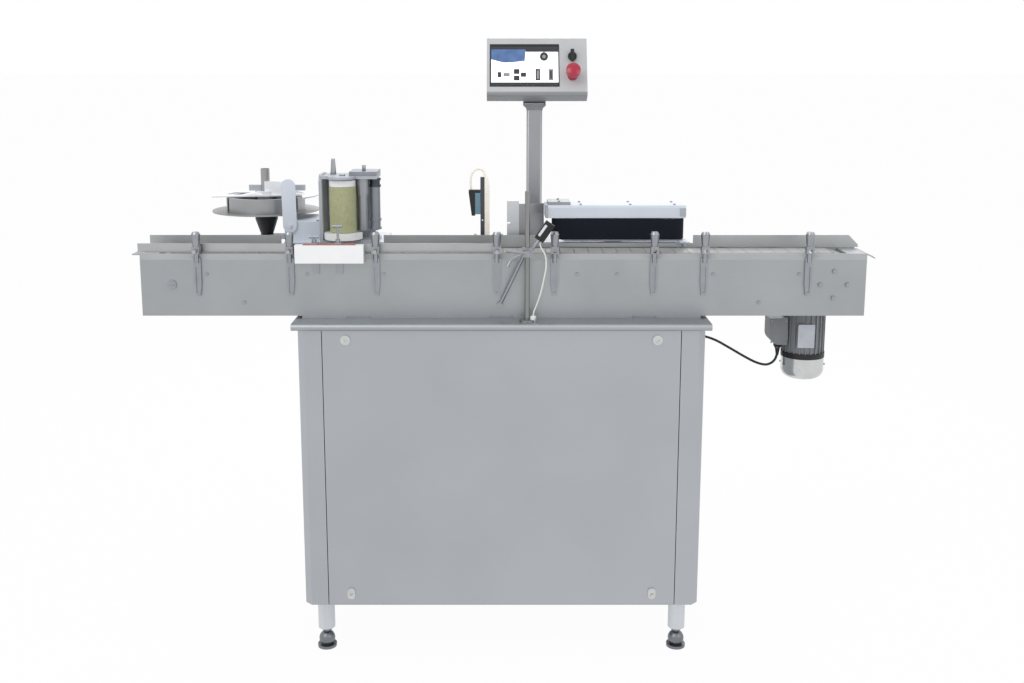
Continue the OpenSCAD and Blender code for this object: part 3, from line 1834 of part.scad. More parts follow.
module clamp_lever() {
  half = 13;
  hub = 15;
  hub_l = 12;
  long = 54;
  grip = 9;
  y = prop_y - half - seat;
  rise = 7;
  color([0.66, 0.68, 0.70]) {
    rod_y(prop_x, y - hub_l, y, lever_z, hub);
    rod_between([prop_x, y - hub_l/2, lever_z], [prop_x - long, y - hub_l/2 - grip/3, lever_z + rise], grip);
  }
}

module photo_sensor() {
  w = 26;
  deep = 16;
  lens_w = 7;
  lens_h = 34;
  color([0.15, 0.15, 0.16])
    translate(photo_mid)
      rotate([0, photo_lean, 0])
        difference() {
          translate([-w/2, -deep/2, -photo_h/2])
            cube([w, deep, photo_h]);
          translate([-w/2 + 0.4*lens_w, -deep/2 - cut, -lens_h/2])
            cube([lens_w, 2*cut, lens_h]);
        }
  color([0.85, 0.86, 0.87])
    translate(photo_mid)
      rotate([0, photo_lean, 0])
        translate([-w/2 + 0.4*lens_w + joint, -deep/2, -lens_h/2 + joint])
          cube([lens_w - 2*joint, cut - joint, lens_h - 2*joint]);
}

// point of a smooth curve between b and c
function curve_point(a, b, c, d, t) =
  0.5*(2*b + (c - a)*t + (2*a - 5*b + 4*c - d)*t*t + (3*b - a - 3*c + d)*t*t*t);

// smooth path through the points of p, n steps between two points
function smooth_path(p, n) = [
  for (i = [0:len(p) - 2])
    for (k = [0:n - 1])
      curve_point(p[max(i - 1, 0)], p[i], p[i + 1], p[min(i + 2, len(p) - 1)], k/n),
  p[len(p) - 1]
];

function unit(v) = v/norm(v);

// direction of the path at point i
function heading(q, i) = unit(q[min(i + 1, len(q) - 1)] - q[max(i - 1, 0)]);

// ring of points round the path at point i
function ring(q, i, d, sides) =
  let (t = heading(q, i), u = unit(cross(t, [0, 1, 0])), v = cross(t, u))
  [for (k = [0:sides - 1]) q[i] + d/2*(cos(k*360/sides)*u + sin(k*360/sides)*v)];

// round cord along the path q
module cord(q, d, sides) {
  n = len(q);
  points = [for (i = [0:n - 1]) each ring(q, i, d, sides)];
  side_faces = [
    for (i = [0:n - 2])
      for (k = [0:sides - 1])
        [i*sides + k, i*sides + (k + 1)%sides, (i + 1)*sides + (k + 1)%sides, (i + 1)*sides + k]
  ];
  first = [for (k = [0:sides - 1]) sides - 1 - k];
  last = [for (k = [0:sides - 1]) (n - 1)*sides + k];
  polyhedron(points, concat([first, last], side_faces));
}

module motor_cable() {
  color([0.05, 0.05, 0.06])
    cord(smooth_path(motor_route, 4), cable_d, 10);
}

module sensor_cable() {
  color([0.88, 0.84, 0.77])
    cord(smooth_path(loop_route, 4), loop_d, 8);
}

module photo_cable() {
  color([0.90, 0.90, 0.89])
    cord(smooth_path(photo_route, 4), thin_d, 8);
}

cabinet_frame();
front_panel();
cabinet_panels();
counter_top();
leveling_feet();
lock_top_left();
lock_top_right();
lock_low_left();
lock_low_right();
electrical_plate();
conveyor_plates();
wear_strips();
cross_spacers();
slat_chain();
drive_shaft();
drive_sprocket();
tail_wheel();
shaft_bearings();
transfer_plates();
gearbox();
motor_body();
fan_cover();
motor_rotor();
rail_brackets();
rail_knobs();
front_rail();
rear_rail();
guide_block();
block_brackets();
hmi_pole();
hmi_yoke();
hmi_housing();
hmi_screen();
estop_button();
selector_knob();
mount_posts();
base_plates();
head_box();
web_arm();
reel_disc();
reel_flange();
separator_frame();
foam_roller();
wheel_hub();
guide_roller_a();
guide_roller_b();
sensor_post();
sensor_head();
peel_plate();
wrap_housing();
wrap_belt();
wrap_drive_roller();
wrap_idler_roller();
support_rod();
cross_clamp();
clamp_lever();
photo_sensor();
motor_cable();
sensor_cable();
photo_cable();
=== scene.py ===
"""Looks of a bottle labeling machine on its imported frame.

X is right, Y is back and Z is up. Sizes and places are in millimetres where they dress or
build the machine, and in metres in Lamp and Studio.
"""

import logging
import math
from collections.abc import Callable, Sequence
from dataclasses import dataclass, field, replace
from enum import Enum, IntEnum

import bmesh
import bpy
from mathutils import Matrix, Vector


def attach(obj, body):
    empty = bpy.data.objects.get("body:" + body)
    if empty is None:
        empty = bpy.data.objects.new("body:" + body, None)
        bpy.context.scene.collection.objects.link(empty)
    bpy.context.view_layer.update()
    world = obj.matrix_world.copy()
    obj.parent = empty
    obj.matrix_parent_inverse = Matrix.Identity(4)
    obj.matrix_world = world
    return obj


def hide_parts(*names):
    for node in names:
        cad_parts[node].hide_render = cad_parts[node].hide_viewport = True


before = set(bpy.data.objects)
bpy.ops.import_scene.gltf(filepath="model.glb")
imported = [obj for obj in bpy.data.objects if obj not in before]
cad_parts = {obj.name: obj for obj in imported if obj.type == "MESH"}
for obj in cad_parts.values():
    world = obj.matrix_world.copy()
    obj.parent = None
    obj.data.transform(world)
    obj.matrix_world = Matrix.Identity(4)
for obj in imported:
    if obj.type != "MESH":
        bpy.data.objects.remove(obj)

MM = 0.001
# An edge sharper than this is broken by a bevel, or stays a crease of a piece.
BEVEL_DEG = 40
CREASE_DEG = 38
# Corners nearer than this, in metres, are one corner.
WELD = 0.00001
LOG = logging.getLogger("labeling_machine")
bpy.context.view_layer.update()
Test = Callable[[Vector], bool]
Point = tuple[float, float, float]
Box = tuple[Point, Point]
Shares = tuple[float, float, float, float]


def add_node(
    tree: bpy.types.NodeTree,
    kind: str,
    inputs: dict[str | int, object] | None = None,
    **settings: object,
) -> bpy.types.Node:
    """Adds a node with its settings and links.

    Args:
        tree: The node tree that gets the node.
        kind: The node's type without its ShaderNode prefix.
        inputs: Socket name or index to a value, or to the socket that feeds it.
        **settings: Properties of the node itself.

    Returns:
        The new node.
    """
    node = tree.nodes.new("ShaderNode" + kind)
    for name, value in settings.items():
        setattr(node, name, value)
    for key, value in (inputs or {}).items():
        if isinstance(value, bpy.types.NodeSocket):
            tree.links.new(value, node.inputs[key])
        else:
            node.inputs[key].default_value = value
    return node


def linear(code: str, share: float = 1.0) -> tuple[float, float, float, float]:
    """Turns an sRGB hex colour into linear values.

    Args:
        code: The colour, such as "#AEB2B8".
        share: A factor on the linear values.

    Returns:
        Red, green, blue and alpha.
    """
    raw = [int(code[i : i + 2], 16) / 255 for i in (1, 3, 5)]
    lin = [c / 12.92 if c <= 0.04045 else ((c + 0.055) / 1.055) ** 2.4 for c in raw]
    return tuple(min(1.0, c * share) for c in lin) + (1.0,)


class Pattern(Enum):
    """How a surface was made, as the scale of its grain along X, Y and Z.

    MOULDED and CELLS are even in all directions. Their last numbers differ
    a little only so that each stays a member of its own.
    """

    BRUSHED_LEVEL = (0.02, 1.0, 1.0)
    BRUSHED_UPRIGHT = (1.0, 1.0, 0.02)
    TURNED = (1.0, 1.0, 0.9)
    MOULDED = (1.0, 1.0, 1.01)
    CELLS = (1.0, 1.0, 1.02)


@dataclass(frozen=True)
class Finish:
    """A finish of one real material.

    Args:
        name: The material and how its surface was made.
        colour: sRGB hex of the surface.
        roughness: Mean roughness.
        metallic: 1 for bare metal, less under an anodic skin, and 0 for paint, plastic and rubber.
        pattern: Shape of the grain.
        grain_mm: Width of one line, grain or cell, as drawn.
        depth_mm: Height of the grain.
        wander: Share by which the colour wanders over the patches.
        patch_mm: Size of a patch of handling marks or rolling tone.
        coat: Weight of a clear coat.
        ior: Index of refraction of a material that isn't metal.
        glow: Strength of its own light, for a lit screen.
        swing: How far the grain moves the roughness each way.
        relief: Strength of the grain's bump.
    """

    name: str
    colour: str
    roughness: float
    metallic: float = 0.0
    pattern: Pattern = Pattern.MOULDED
    grain_mm: float = 0.8
    depth_mm: float = 0.02
    wander: float = 0.03
    patch_mm: float = 120.0
    coat: float = 0.0
    ior: float = 1.5
    glow: float = 0.0
    swing: float = 0.06
    relief: float = 0.6

    def build(self) -> bpy.types.Material:
        """Makes the material, unless it is there already.

        Returns:
            The material, new or made before.
        """
        known = bpy.data.materials.get(self.name)
        if known is not None:
            return known
        material = bpy.data.materials.new(self.name)
        material.use_nodes = True
        tree = material.node_tree
        tree.nodes.clear()
        place = add_node(tree, "TexCoord").outputs["Object"]
        stretched = add_node(
            tree, "Mapping", {"Vector": place, "Scale": self.pattern.value}
        ).outputs["Vector"]
        grain = self._grain(tree, stretched)
        rough = add_node(
            tree,
            "MapRange",
            {
                "Value": grain,
                "To Min": max(0.02, self.roughness - self.swing),
                "To Max": min(1.0, self.roughness + self.swing),
            },
        ).outputs["Result"]
        bump = add_node(
            tree,
            "Bump",
            {"Height": grain, "Distance": self.depth_mm * MM, "Strength": self.relief},
        ).outputs["Normal"]
        values = {
            "Base Color": self._tone(tree, place),
            "Roughness": rough,
            "Metallic": self.metallic,
            "Normal": bump,
            "Coat Weight": self.coat,
        }
        if not self.metallic:
            values["IOR"] = self.ior
        if self.glow:
            values["Emission Color"] = linear(self.colour)
            values["Emission Strength"] = self.glow
        shader = add_node(tree, "BsdfPrincipled", values).outputs["BSDF"]
        add_node(tree, "OutputMaterial", {"Surface": shader})
        return material

    def _tone(self, tree: bpy.types.NodeTree, place: bpy.types.NodeSocket) -> bpy.types.NodeSocket:
        """Adds the colour, which wanders from patch to patch.

        Args:
            tree: The material's node tree.
            place: Socket of the point on the surface.

        Returns:
            The socket of the colour.
        """
        patches = add_node(
            tree,
            "TexNoise",
            {"Vector": place, "Scale": 1 / (self.patch_mm * MM), "Detail": 4.0},
        ).outputs["Fac"]
        share = add_node(
            tree, "MapRange", {"Value": patches, "From Min": 0.3, "From Max": 0.7}
        ).outputs["Result"]
        return add_node(
            tree,
            "Mix",
            {
                "Factor": share,
                "A": linear(self.colour, 1 - self.wander),
                "B": linear(self.colour, 1 + self.wander),
            },
            data_type="RGBA",
        ).outputs["Result"]

    def _grain(
        self, tree: bpy.types.NodeTree, place: bpy.types.NodeSocket
    ) -> bpy.types.NodeSocket:
        """Adds the fine pattern.

        Args:
            tree: The material's node tree.
            place: Socket of the point, stretched along the pattern.

        Returns:
            The socket of the pattern's height, 0 to 1.
        """
        scale = 1 / (self.grain_mm * MM)
        if self.pattern is Pattern.CELLS:
            return add_node(
                tree, "TexVoronoi", {"Vector": place, "Scale": scale}
            ).outputs["Distance"]
        return add_node(
            tree, "TexNoise", {"Vector": place, "Scale": scale, "Detail": 3.0}
        ).outputs["Fac"]


# Tool marks, grit and moulding grain are finer than 0.5 mm. All finishes below draw them 0.7 to
# 2 mm wide, because they wouldn't show otherwise.

# Cold-rolled stainless sheet, brushed level: lines of 0.1 mm, drawn 1.5 mm wide to show.
SHEET = Finish(
    "stainless sheet brushed", "#B2B6BB", roughness=0.42, metallic=1.0,
    pattern=Pattern.BRUSHED_LEVEL, grain_mm=1.5, depth_mm=0.01, patch_mm=260,
)
# The conveyor's sheet is a shade darker, with hand marks.
PLATE = replace(SHEET, name="stainless plate brushed", colour="#A7AAAC", wander=0.05, patch_mm=140)
# The rails are pressed from a thin sheet, with shorter marks along their edges.
RAIL = replace(PLATE, name="stainless rail strip", colour="#B2B4B5", grain_mm=1.2, patch_mm=90)
# The counter is rubbed satin: a finer and flatter grain than the panels have.
COUNTER = replace(
    SHEET, name="stainless counter satin", colour="#AFB3B6", roughness=0.5,
    grain_mm=1.2, depth_mm=0.008, patch_mm=200,
)
# Square tube of the pole, ground upright, so that its streaks run up.
TUBE = Finish(
    "stainless tube ground", "#9D9EA2", roughness=0.42, metallic=1.0,
    pattern=Pattern.BRUSHED_UPRIGHT, grain_mm=1.2, depth_mm=0.01, wander=0.04,
)
# Tube ends of the legs, ground bright.
LEG = replace(TUBE, name="stainless tube ground bright", colour="#CFD2D6", roughness=0.5, wander=0.03)
# The peel plate is bent from one sheet; its front face gets this paler copy as painted light.
PEEL_PAINTED_LIGHT = replace(
    LEG, name="stainless sheet painted light", colour="#D0D3D6", roughness=0.46, depth_mm=0.008, patch_mm=60
)
# Drawn bar of the bottle sensor's rod, with a dull skin.
DRAWN = Finish(
    "steel rod drawn", "#8E908F", roughness=0.34, metallic=1.0,
    pattern=Pattern.BRUSHED_UPRIGHT, depth_mm=0.01, wander=0.05, patch_mm=50,
)
# Turned and milled steel parts: clean metal with fine tool marks.
MACHINED = Finish(
    "steel machined", "#9DA0A5", roughness=0.34, metallic=1.0,
    pattern=Pattern.TURNED, depth_mm=0.01, wander=0.06, patch_mm=30,
)
# Turned ball of the foot, darker and duller than the machined steel.
BALL = replace(
    MACHINED, name="steel ball turned dull", colour="#7C7F83", roughness=0.4, grain_mm=0.9, patch_mm=25
)
# Polished steel of the locks and the fan cover: nearly a mirror, with soft clouds.
POLISHED = replace(
    MACHINED, name="steel polished", colour="#C9CBCA", roughness=0.20,
    grain_mm=2.0, depth_mm=0.004, patch_mm=25,
)
# The lower disc and drum of the reel, turned aluminium left bare, in a darker grey as painted shadow
# from the upper flange above them.
DISC_PAINTED_SHADE = replace(
    MACHINED, name="aluminium disc turned painted shade", colour="#9FA0A1", grain_mm=1.2, wander=0.05, patch_mm=70
)
# Turned aluminium with a clear anodic skin: brighter than bare steel.
CLEAR_ANODISED = Finish(
    "aluminium anodised clear", "#CDD1D8", roughness=0.3, metallic=0.9,
    pattern=Pattern.TURNED, grain_mm=1.0, depth_mm=0.01, wander=0.05, patch_mm=60,
)
# Guide roller of the label web, polished by the web.
ROLLER = replace(
    CLEAR_ANODISED, name="aluminium roller turned", colour="#989BA0", roughness=0.34,
    metallic=0.8, grain_mm=0.9, patch_mm=40,
)
# A grey anodic skin hides most of the metal's shine.
MID_ANODISED = Finish(
    "aluminium anodised mid grey", "#8B9098", roughness=0.42, metallic=0.3,
    pattern=Pattern.TURNED, depth_mm=0.01, wander=0.06, patch_mm=40,
)
# A dark anodic skin with a silky shine.
DARK_ANODISED = replace(
    MID_ANODISED, name="aluminium anodised dark", colour="#4C5056", roughness=0.36,
    metallic=0.7, wander=0.07, patch_mm=30,
)
# Frame of milled aluminium with a light grey anodic skin.
FRAME_GREY = Finish(
    "aluminium anodised grey", "#ABB0B8", roughness=0.45, metallic=0.2,
    pattern=Pattern.BRUSHED_UPRIGHT, grain_mm=0.9, depth_mm=0.01, wander=0.06, patch_mm=50,
)
# The upper flange is blasted with beads and looks nearly white.
FLANGE = Finish(
    "aluminium flange bead blasted", "#F2F4F8", roughness=0.5, metallic=0.1,
    grain_mm=1.0, wander=0.02, patch_mm=60,
)
# The motor's bare plate is etched matt.
LABEL_PLATE = Finish(
    "aluminium plate etched bare", "#B8BCC4", roughness=0.45, metallic=0.5,
    grain_mm=1.0, wander=0.06, patch_mm=14,
)
# Zinc-plated sheet inside the cabinet, with its spangle of 8 mm.
ZINC = Finish(
    "sheet zinc plated", "#C8C8C2", roughness=0.4, metallic=0.9,
    grain_mm=8.0, depth_mm=0.01, wander=0.06, patch_mm=20,
)
# Aluminium housing cast in sand and painted grey: the sand's grain shows through.
CAST = Finish(
    "aluminium cast and painted", "#828588", roughness=0.5, grain_mm=1.6, depth_mm=0.06,
    wander=0.06, patch_mm=40,
)
# Motor enamel sprayed over a ribbed casting.
ENAMEL = Finish(
    "enamel dark grey sprayed", "#84878B", roughness=0.42, grain_mm=1.2, depth_mm=0.04,
    wander=0.08, patch_mm=40,
)
# Pale blue-grey powder coat: a faint orange peel.
POWDER = Finish(
    "powder coat pale blue-grey", "#D2D8E3", roughness=0.38, grain_mm=1.5, depth_mm=0.03,
    wander=0.025, patch_mm=90,
)
# The tables behind the conveyor have a paler coat.
POWDER_PALE = replace(POWDER, name="powder coat paler blue-grey", colour="#DEE4EF")
# Grey powder coat of the operator panel.
PANEL = Finish(
    "powder coat light grey", "#BEC0C2", roughness=0.42, grain_mm=1.2, depth_mm=0.03, patch_mm=80
)
# The rounded lower lip of the housing, a darker copy of the panel's coat as painted shade, since it
# faces down.
PANEL_LIP_PAINTED_SHADE = replace(PANEL, name="powder coat light grey lip painted shade", colour="#909295")
# Milled white acetal: smooth and evenly bright.
ACETAL = Finish(
    "acetal milled white", "#F1F2F3", roughness=0.42, pattern=Pattern.TURNED,
    grain_mm=1.0, wander=0.02, patch_mm=60,
)
# Moulded plastics have a fine spark-eroded grain. The slats are worn a little uneven.
SLATS = Finish(
    "acetal moulded grey", "#ABAEAC", roughness=0.45, grain_mm=0.9, depth_mm=0.03,
    wander=0.04, patch_mm=50,
)
# The wear strips are drawn smooth and look waxy.
STRIP = Finish("polyethylene strip", "#ABADAE", roughness=0.5, grain_mm=1.0, patch_mm=60)
# Nearly black plastic of the buttons, wheels and sensor housings.
BLACK = Finish(
    "plastic moulded black", "#0F1012", roughness=0.46, grain_mm=0.7, depth_mm=0.03,
    wander=0.1, patch_mm=30,
)
# The emergency mushroom is glossy.
RED = Finish(
    "plastic moulded red", "#AA173A", roughness=0.28, grain_mm=1.2, depth_mm=0.01,
    wander=0.05, patch_mm=15, coat=0.3,
)
# The face of the label sensor.
TEAL = Finish("plastic moulded teal", "#66879A", roughness=0.4, grain_mm=0.7, wander=0.06, patch_mm=12)
# Extruded sleeve of the label sensor's post, matt and warm in tone.
CREAM = Finish("sleeve extruded cream", "#FBF4E8", roughness=0.5, wander=0.04, patch_mm=25)
# The bottle sensor's lens is smooth and shiny, and pale grey as a painted highlight for its glints.
LENS_PAINTED_GLINT = Finish(
    "lens moulded painted highlight", "#D9DDE0", roughness=0.12, grain_mm=2.0, depth_mm=0.005,
    wander=0.04, patch_mm=10, coat=0.5,
)
# Rubber of the wrap belt: matt, with bloom in patches.
BELT = Finish(
    "belt rubber ground", "#090F1C", roughness=0.7, grain_mm=0.9, depth_mm=0.06,
    wander=0.12, patch_mm=45, ior=1.3,
)
# Rubber strip on the guide block, faded.
RED_RUBBER = Finish(
    "rubber strip red", "#A66C69", roughness=0.6, depth_mm=0.03, wander=0.08, patch_mm=20
)
# Cut foam: open cells of 1.6 mm.
FOAM = Finish(
    "foam rubber cut", "#ABAD88", roughness=0.9, pattern=Pattern.CELLS,
    grain_mm=1.6, depth_mm=0.35, wander=0.08, patch_mm=9,
)
# Smooth sheaths of the cables.
LEAD_BLACK = Finish("cable sheath black", "#111214", roughness=0.45, wander=0.1, patch_mm=30)
LEAD_WHITE = replace(LEAD_BLACK, name="cable sheath white", colour="#E4E4E1", wander=0.04)
# The lit page behind the screen's glass.
PAGE_WHITE = Finish(
    "screen page white", "#FAFBFD", roughness=0.2, depth_mm=0.001, wander=0.01,
    patch_mm=30, coat=0.4, glow=1.0,
)
PAGE_BLUE = replace(
    PAGE_WHITE, name="screen page blue", colour="#4A6A9C", wander=0.22, patch_mm=18, glow=0.15
)
PAGE_DARK = replace(
    PAGE_WHITE, name="screen page dark", colour="#23262C", wander=0.15, patch_mm=9, glow=0.05
)
PAGE_GREY = replace(
    PAGE_WHITE, name="screen page grey", colour="#8A8D93", wander=0.1, patch_mm=9, glow=0.2
)


def within(box: Box) -> Test:
    """Returns a test for points in a box, its corners in millimetres."""
    a, b = (Vector(corner) * MM for corner in box)
    return lambda p: all(a[i] <= p[i] <= b[i] for i in range(3))


def dress(node: str, finish: Finish, *regions: tuple[Finish, Test]) -> None:
    """Gives a CAD node its finish, and other finishes to the faces in some regions.

    Args:
        node: Name of the node.
        finish: Finish of all faces that no region holds.
        *regions: Pairs of a finish and the test for the middle of a face.
    """
    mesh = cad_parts[node].data
    mesh.materials.clear()
    for each in (finish, *(r[0] for r in regions)):
        mesh.materials.append(each.build())
    for polygon in mesh.polygons:
        polygon.material_index = next(
            (i + 1 for i, r in enumerate(regions) if r[1](polygon.center)), 0
        )
    LOG.info("dressed %s in %s", node, finish.name)


def soften(node: str, width_mm: float) -> None:
    """Breaks the edges of a CAD node with a small bevel.

    Args:
        node: Name of the node.
        width_mm: Width of the broken edge.
    """
    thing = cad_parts[node]
    weld = thing.modifiers.new("join", "WELD")
    weld.merge_threshold = WELD
    bevel = thing.modifiers.new("edge", "BEVEL")
    bevel.width = width_mm * MM
    bevel.segments = 2
    bevel.limit_method = "ANGLE"
    bevel.angle_limit = math.radians(BEVEL_DEG)
    bevel.use_clamp_overlap = True
    bevel.harden_normals = True


class Head(Enum):
    """Heads of the screws, as width and height in millimetres."""

    LARGE = (9.0, 5.0)
    MEDIUM = (8.0, 4.0)
    SMALL = (7.0, 3.0)
    FLAT = (6.0, 1.5)
    TINY = (5.0, 2.0)


@dataclass
class Piece:
    """A mesh in the making, in millimetres until it is done.

    Args:
        name: Name of the piece.
        body: CAD body that carries it.
        slot: Material slot of the record that it belongs to; not used.
        finishes: Its finishes; faces name them by number.
        mesh: The mesh so far.
    """

    name: str
    body: str
    slot: str
    finishes: tuple[Finish, ...]
    mesh: bmesh.types.BMesh = field(default_factory=bmesh.new)

    def lathe(
        self,
        profile: Sequence[tuple[float, float]],
        origin: Point,
        axis: Point = (0, 0, 1),
        steps: int = 18,
        finish: int = 0,
    ) -> None:
        """Turns a profile round an axis.

        Args:
            profile: Radius and height pairs, from the lower end to the upper one.
            origin: Point of the axis where the height is zero.
            axis: Direction of the axis.
            steps: Faces round the axis.
            finish: Number of the finish.
        """
        turn = Vector((0, 0, 1)).rotation_difference(Vector(axis).normalized())
        rings = []
        for r, h in profile:
            if r <= 0:
                rings.append([self.mesh.verts.new(turn @ Vector((0, 0, h)) + Vector(origin))])
                continue
            angles = (2 * math.pi * k / steps for k in range(steps))
            spots = (Vector((r * math.cos(a), r * math.sin(a), h)) for a in angles)
            rings.append([self.mesh.verts.new(turn @ p + Vector(origin)) for p in spots])
        for low, high in zip(rings, rings[1:]):
            for k in range(steps):
                j = (k + 1) % steps
                corners = [low[k % len(low)], low[j % len(low)]]
                corners += [high[j % len(high)], high[k % len(high)]]
                kept = [v for i, v in enumerate(corners) if v not in corners[:i]]
                if len(kept) > 2:
                    face = self.mesh.faces.new(kept)
                    face.material_index = finish
                    face.smooth = True

    def box(self, low: Point, high: Point) -> None:
        """Adds a box.

        Args:
            low: Its lower left front corner.
            high: Its upper right rear corner.
        """
        x, y, z = zip(low, high)
        v = [self.mesh.verts.new((x[i % 2], y[i // 2 % 2], z[i // 4])) for i in range(8)]
        sides = ((0, 2, 3, 1), (4, 5, 7, 6), (0, 1, 5, 4), (2, 6, 7, 3), (0, 4, 6, 2), (1, 3, 7, 5))
        for side in sides:
            self.mesh.faces.new([v[k] for k in side])

    def plate(self, outline: Sequence[Point], finish: int, place: Matrix) -> None:
        """Adds one flat face through the outline's points, moved by place."""
        v = [self.mesh.verts.new(place @ Vector(p)) for p in outline]
        self.mesh.faces.new(v).material_index = finish

    def screw(self, at: Point, axis: Point, head: Head) -> None:
        """Adds a cap screw head with its socket, seated at a point.

        Args:
            at: Middle of the seat.
            axis: Direction in which the head stands out.
            head: Size of the head.
        """
        width, height = head.value
        r = width / 2
        shoulder, crown = 0.8 * height, 0.86 * r
        socket_top, socket, depth = 0.52 * r, 0.5 * r, 0.45 * height
        rim = [(0, 0), (r, 0), (r, shoulder), (crown, height)]
        self.lathe([*rim, (socket_top, height), (socket, depth), (0, depth)], at, axis)

    def done(self, replaces: Sequence[str] = ()) -> bpy.types.Object:
        """Turns the mesh into an object that rides on its body.

        Args:
            replaces: CAD nodes that the piece stands for.

        Returns:
            The object.
        """
        bmesh.ops.recalc_face_normals(self.mesh, faces=self.mesh.faces)
        data = bpy.data.meshes.new(self.name)
        self.mesh.transform(Matrix.Scale(MM, 4))
        self.mesh.to_mesh(data)
        self.mesh.free()
        for finish in self.finishes:
            data.materials.append(finish.build())
        data.polygons.foreach_set("use_smooth", [True] * len(data.polygons))
        data.set_sharp_from_angle(angle=math.radians(CREASE_DEG))
        thing = bpy.data.objects.new(self.name, data)
        bpy.context.scene.collection.objects.link(thing)
        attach(thing, self.body)
        if replaces:
            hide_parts(*replaces)
        LOG.info("built %s on %s", self.name, self.body)
        return thing


@dataclass
class Lead:
    """A cord along the same route as its CAD solid.

    Args:
        name: Name of the piece.
        node: CAD node that it replaces.
        slot: Material slot of the record; not used.
        finish: Finish of its sheath.
        width_mm: Its diameter.
        route: Points in millimetres, as in the part's source.
        steps: Steps of the curve from one point to the next.
    """

    name: str
    node: str
    slot: str
    finish: Finish
    width_mm: float
    route: tuple[Point, ...]
    steps: int = 4

    def path(self) -> list[Vector]:
        """Works out the smooth curve through the route.

        Returns:
            Points of the curve, in metres.
        """
        p = [Vector(q) * MM for q in self.route]
        last = len(p) - 1
        found = []
        for i in range(last):
            a, b, c, d = p[max(i - 1, 0)], p[i], p[i + 1], p[min(i + 2, last)]
            for k in range(self.steps):
                t = k / self.steps
                found.append(
                    0.5
                    * (
                        2 * b
                        + (c - a) * t
                        + (2 * a - 5 * b + 4 * c - d) * t * t
                        + (3 * b - a - 3 * c + d) * t**3
                    )
                )
        return [*found, p[last]]

    def build(self, stiffness: str, lay: str) -> bpy.types.Object:
        """Args:
            stiffness: How stiff the cord is; not used.
            lay: How it lies; not used.

        Returns:
            The curve object.
        """
        points = self.path()
        curve = bpy.data.curves.new(self.name, "CURVE")
        curve.dimensions = "3D"
        curve.bevel_depth = self.width_mm * MM / 2
        curve.bevel_resolution = 4
        curve.use_fill_caps = True
        spline = curve.splines.new("POLY")
        spline.points.add(len(points) - 1)
        for spot, point in zip(spline.points, points):
            spot.co = (*point, 1)
        spline.use_smooth = True
        curve.materials.append(self.finish.build())
        thing = bpy.data.objects.new(self.name, curve)
        bpy.context.scene.collection.objects.link(thing)
        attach(thing, "machine")
        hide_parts(self.node)
        return thing


@dataclass(frozen=True)
class Lamp:
    """A square soft lamp that faces the machine's middle.

    Args:
        name: Name of the lamp.
        place: Its middle, in metres.
        size: Length of a side, in metres.
        power: Its power in watts.
        aim: The point that it faces.
    """

    name: str
    place: Point
    size: float
    power: float
    aim: Point = (0, 0, 0.9)

    def build(self) -> None:
        """Adds the lamp to the scene."""
        data = bpy.data.lights.new(self.name, "AREA")
        data.size = self.size
        data.energy = self.power
        lamp = bpy.data.objects.new(self.name, data)
        lamp.location = self.place
        way = Vector(self.aim) - Vector(self.place)
        lamp.rotation_euler = way.to_track_quat("-Z", "Y").to_euler()
        bpy.context.scene.collection.objects.link(lamp)


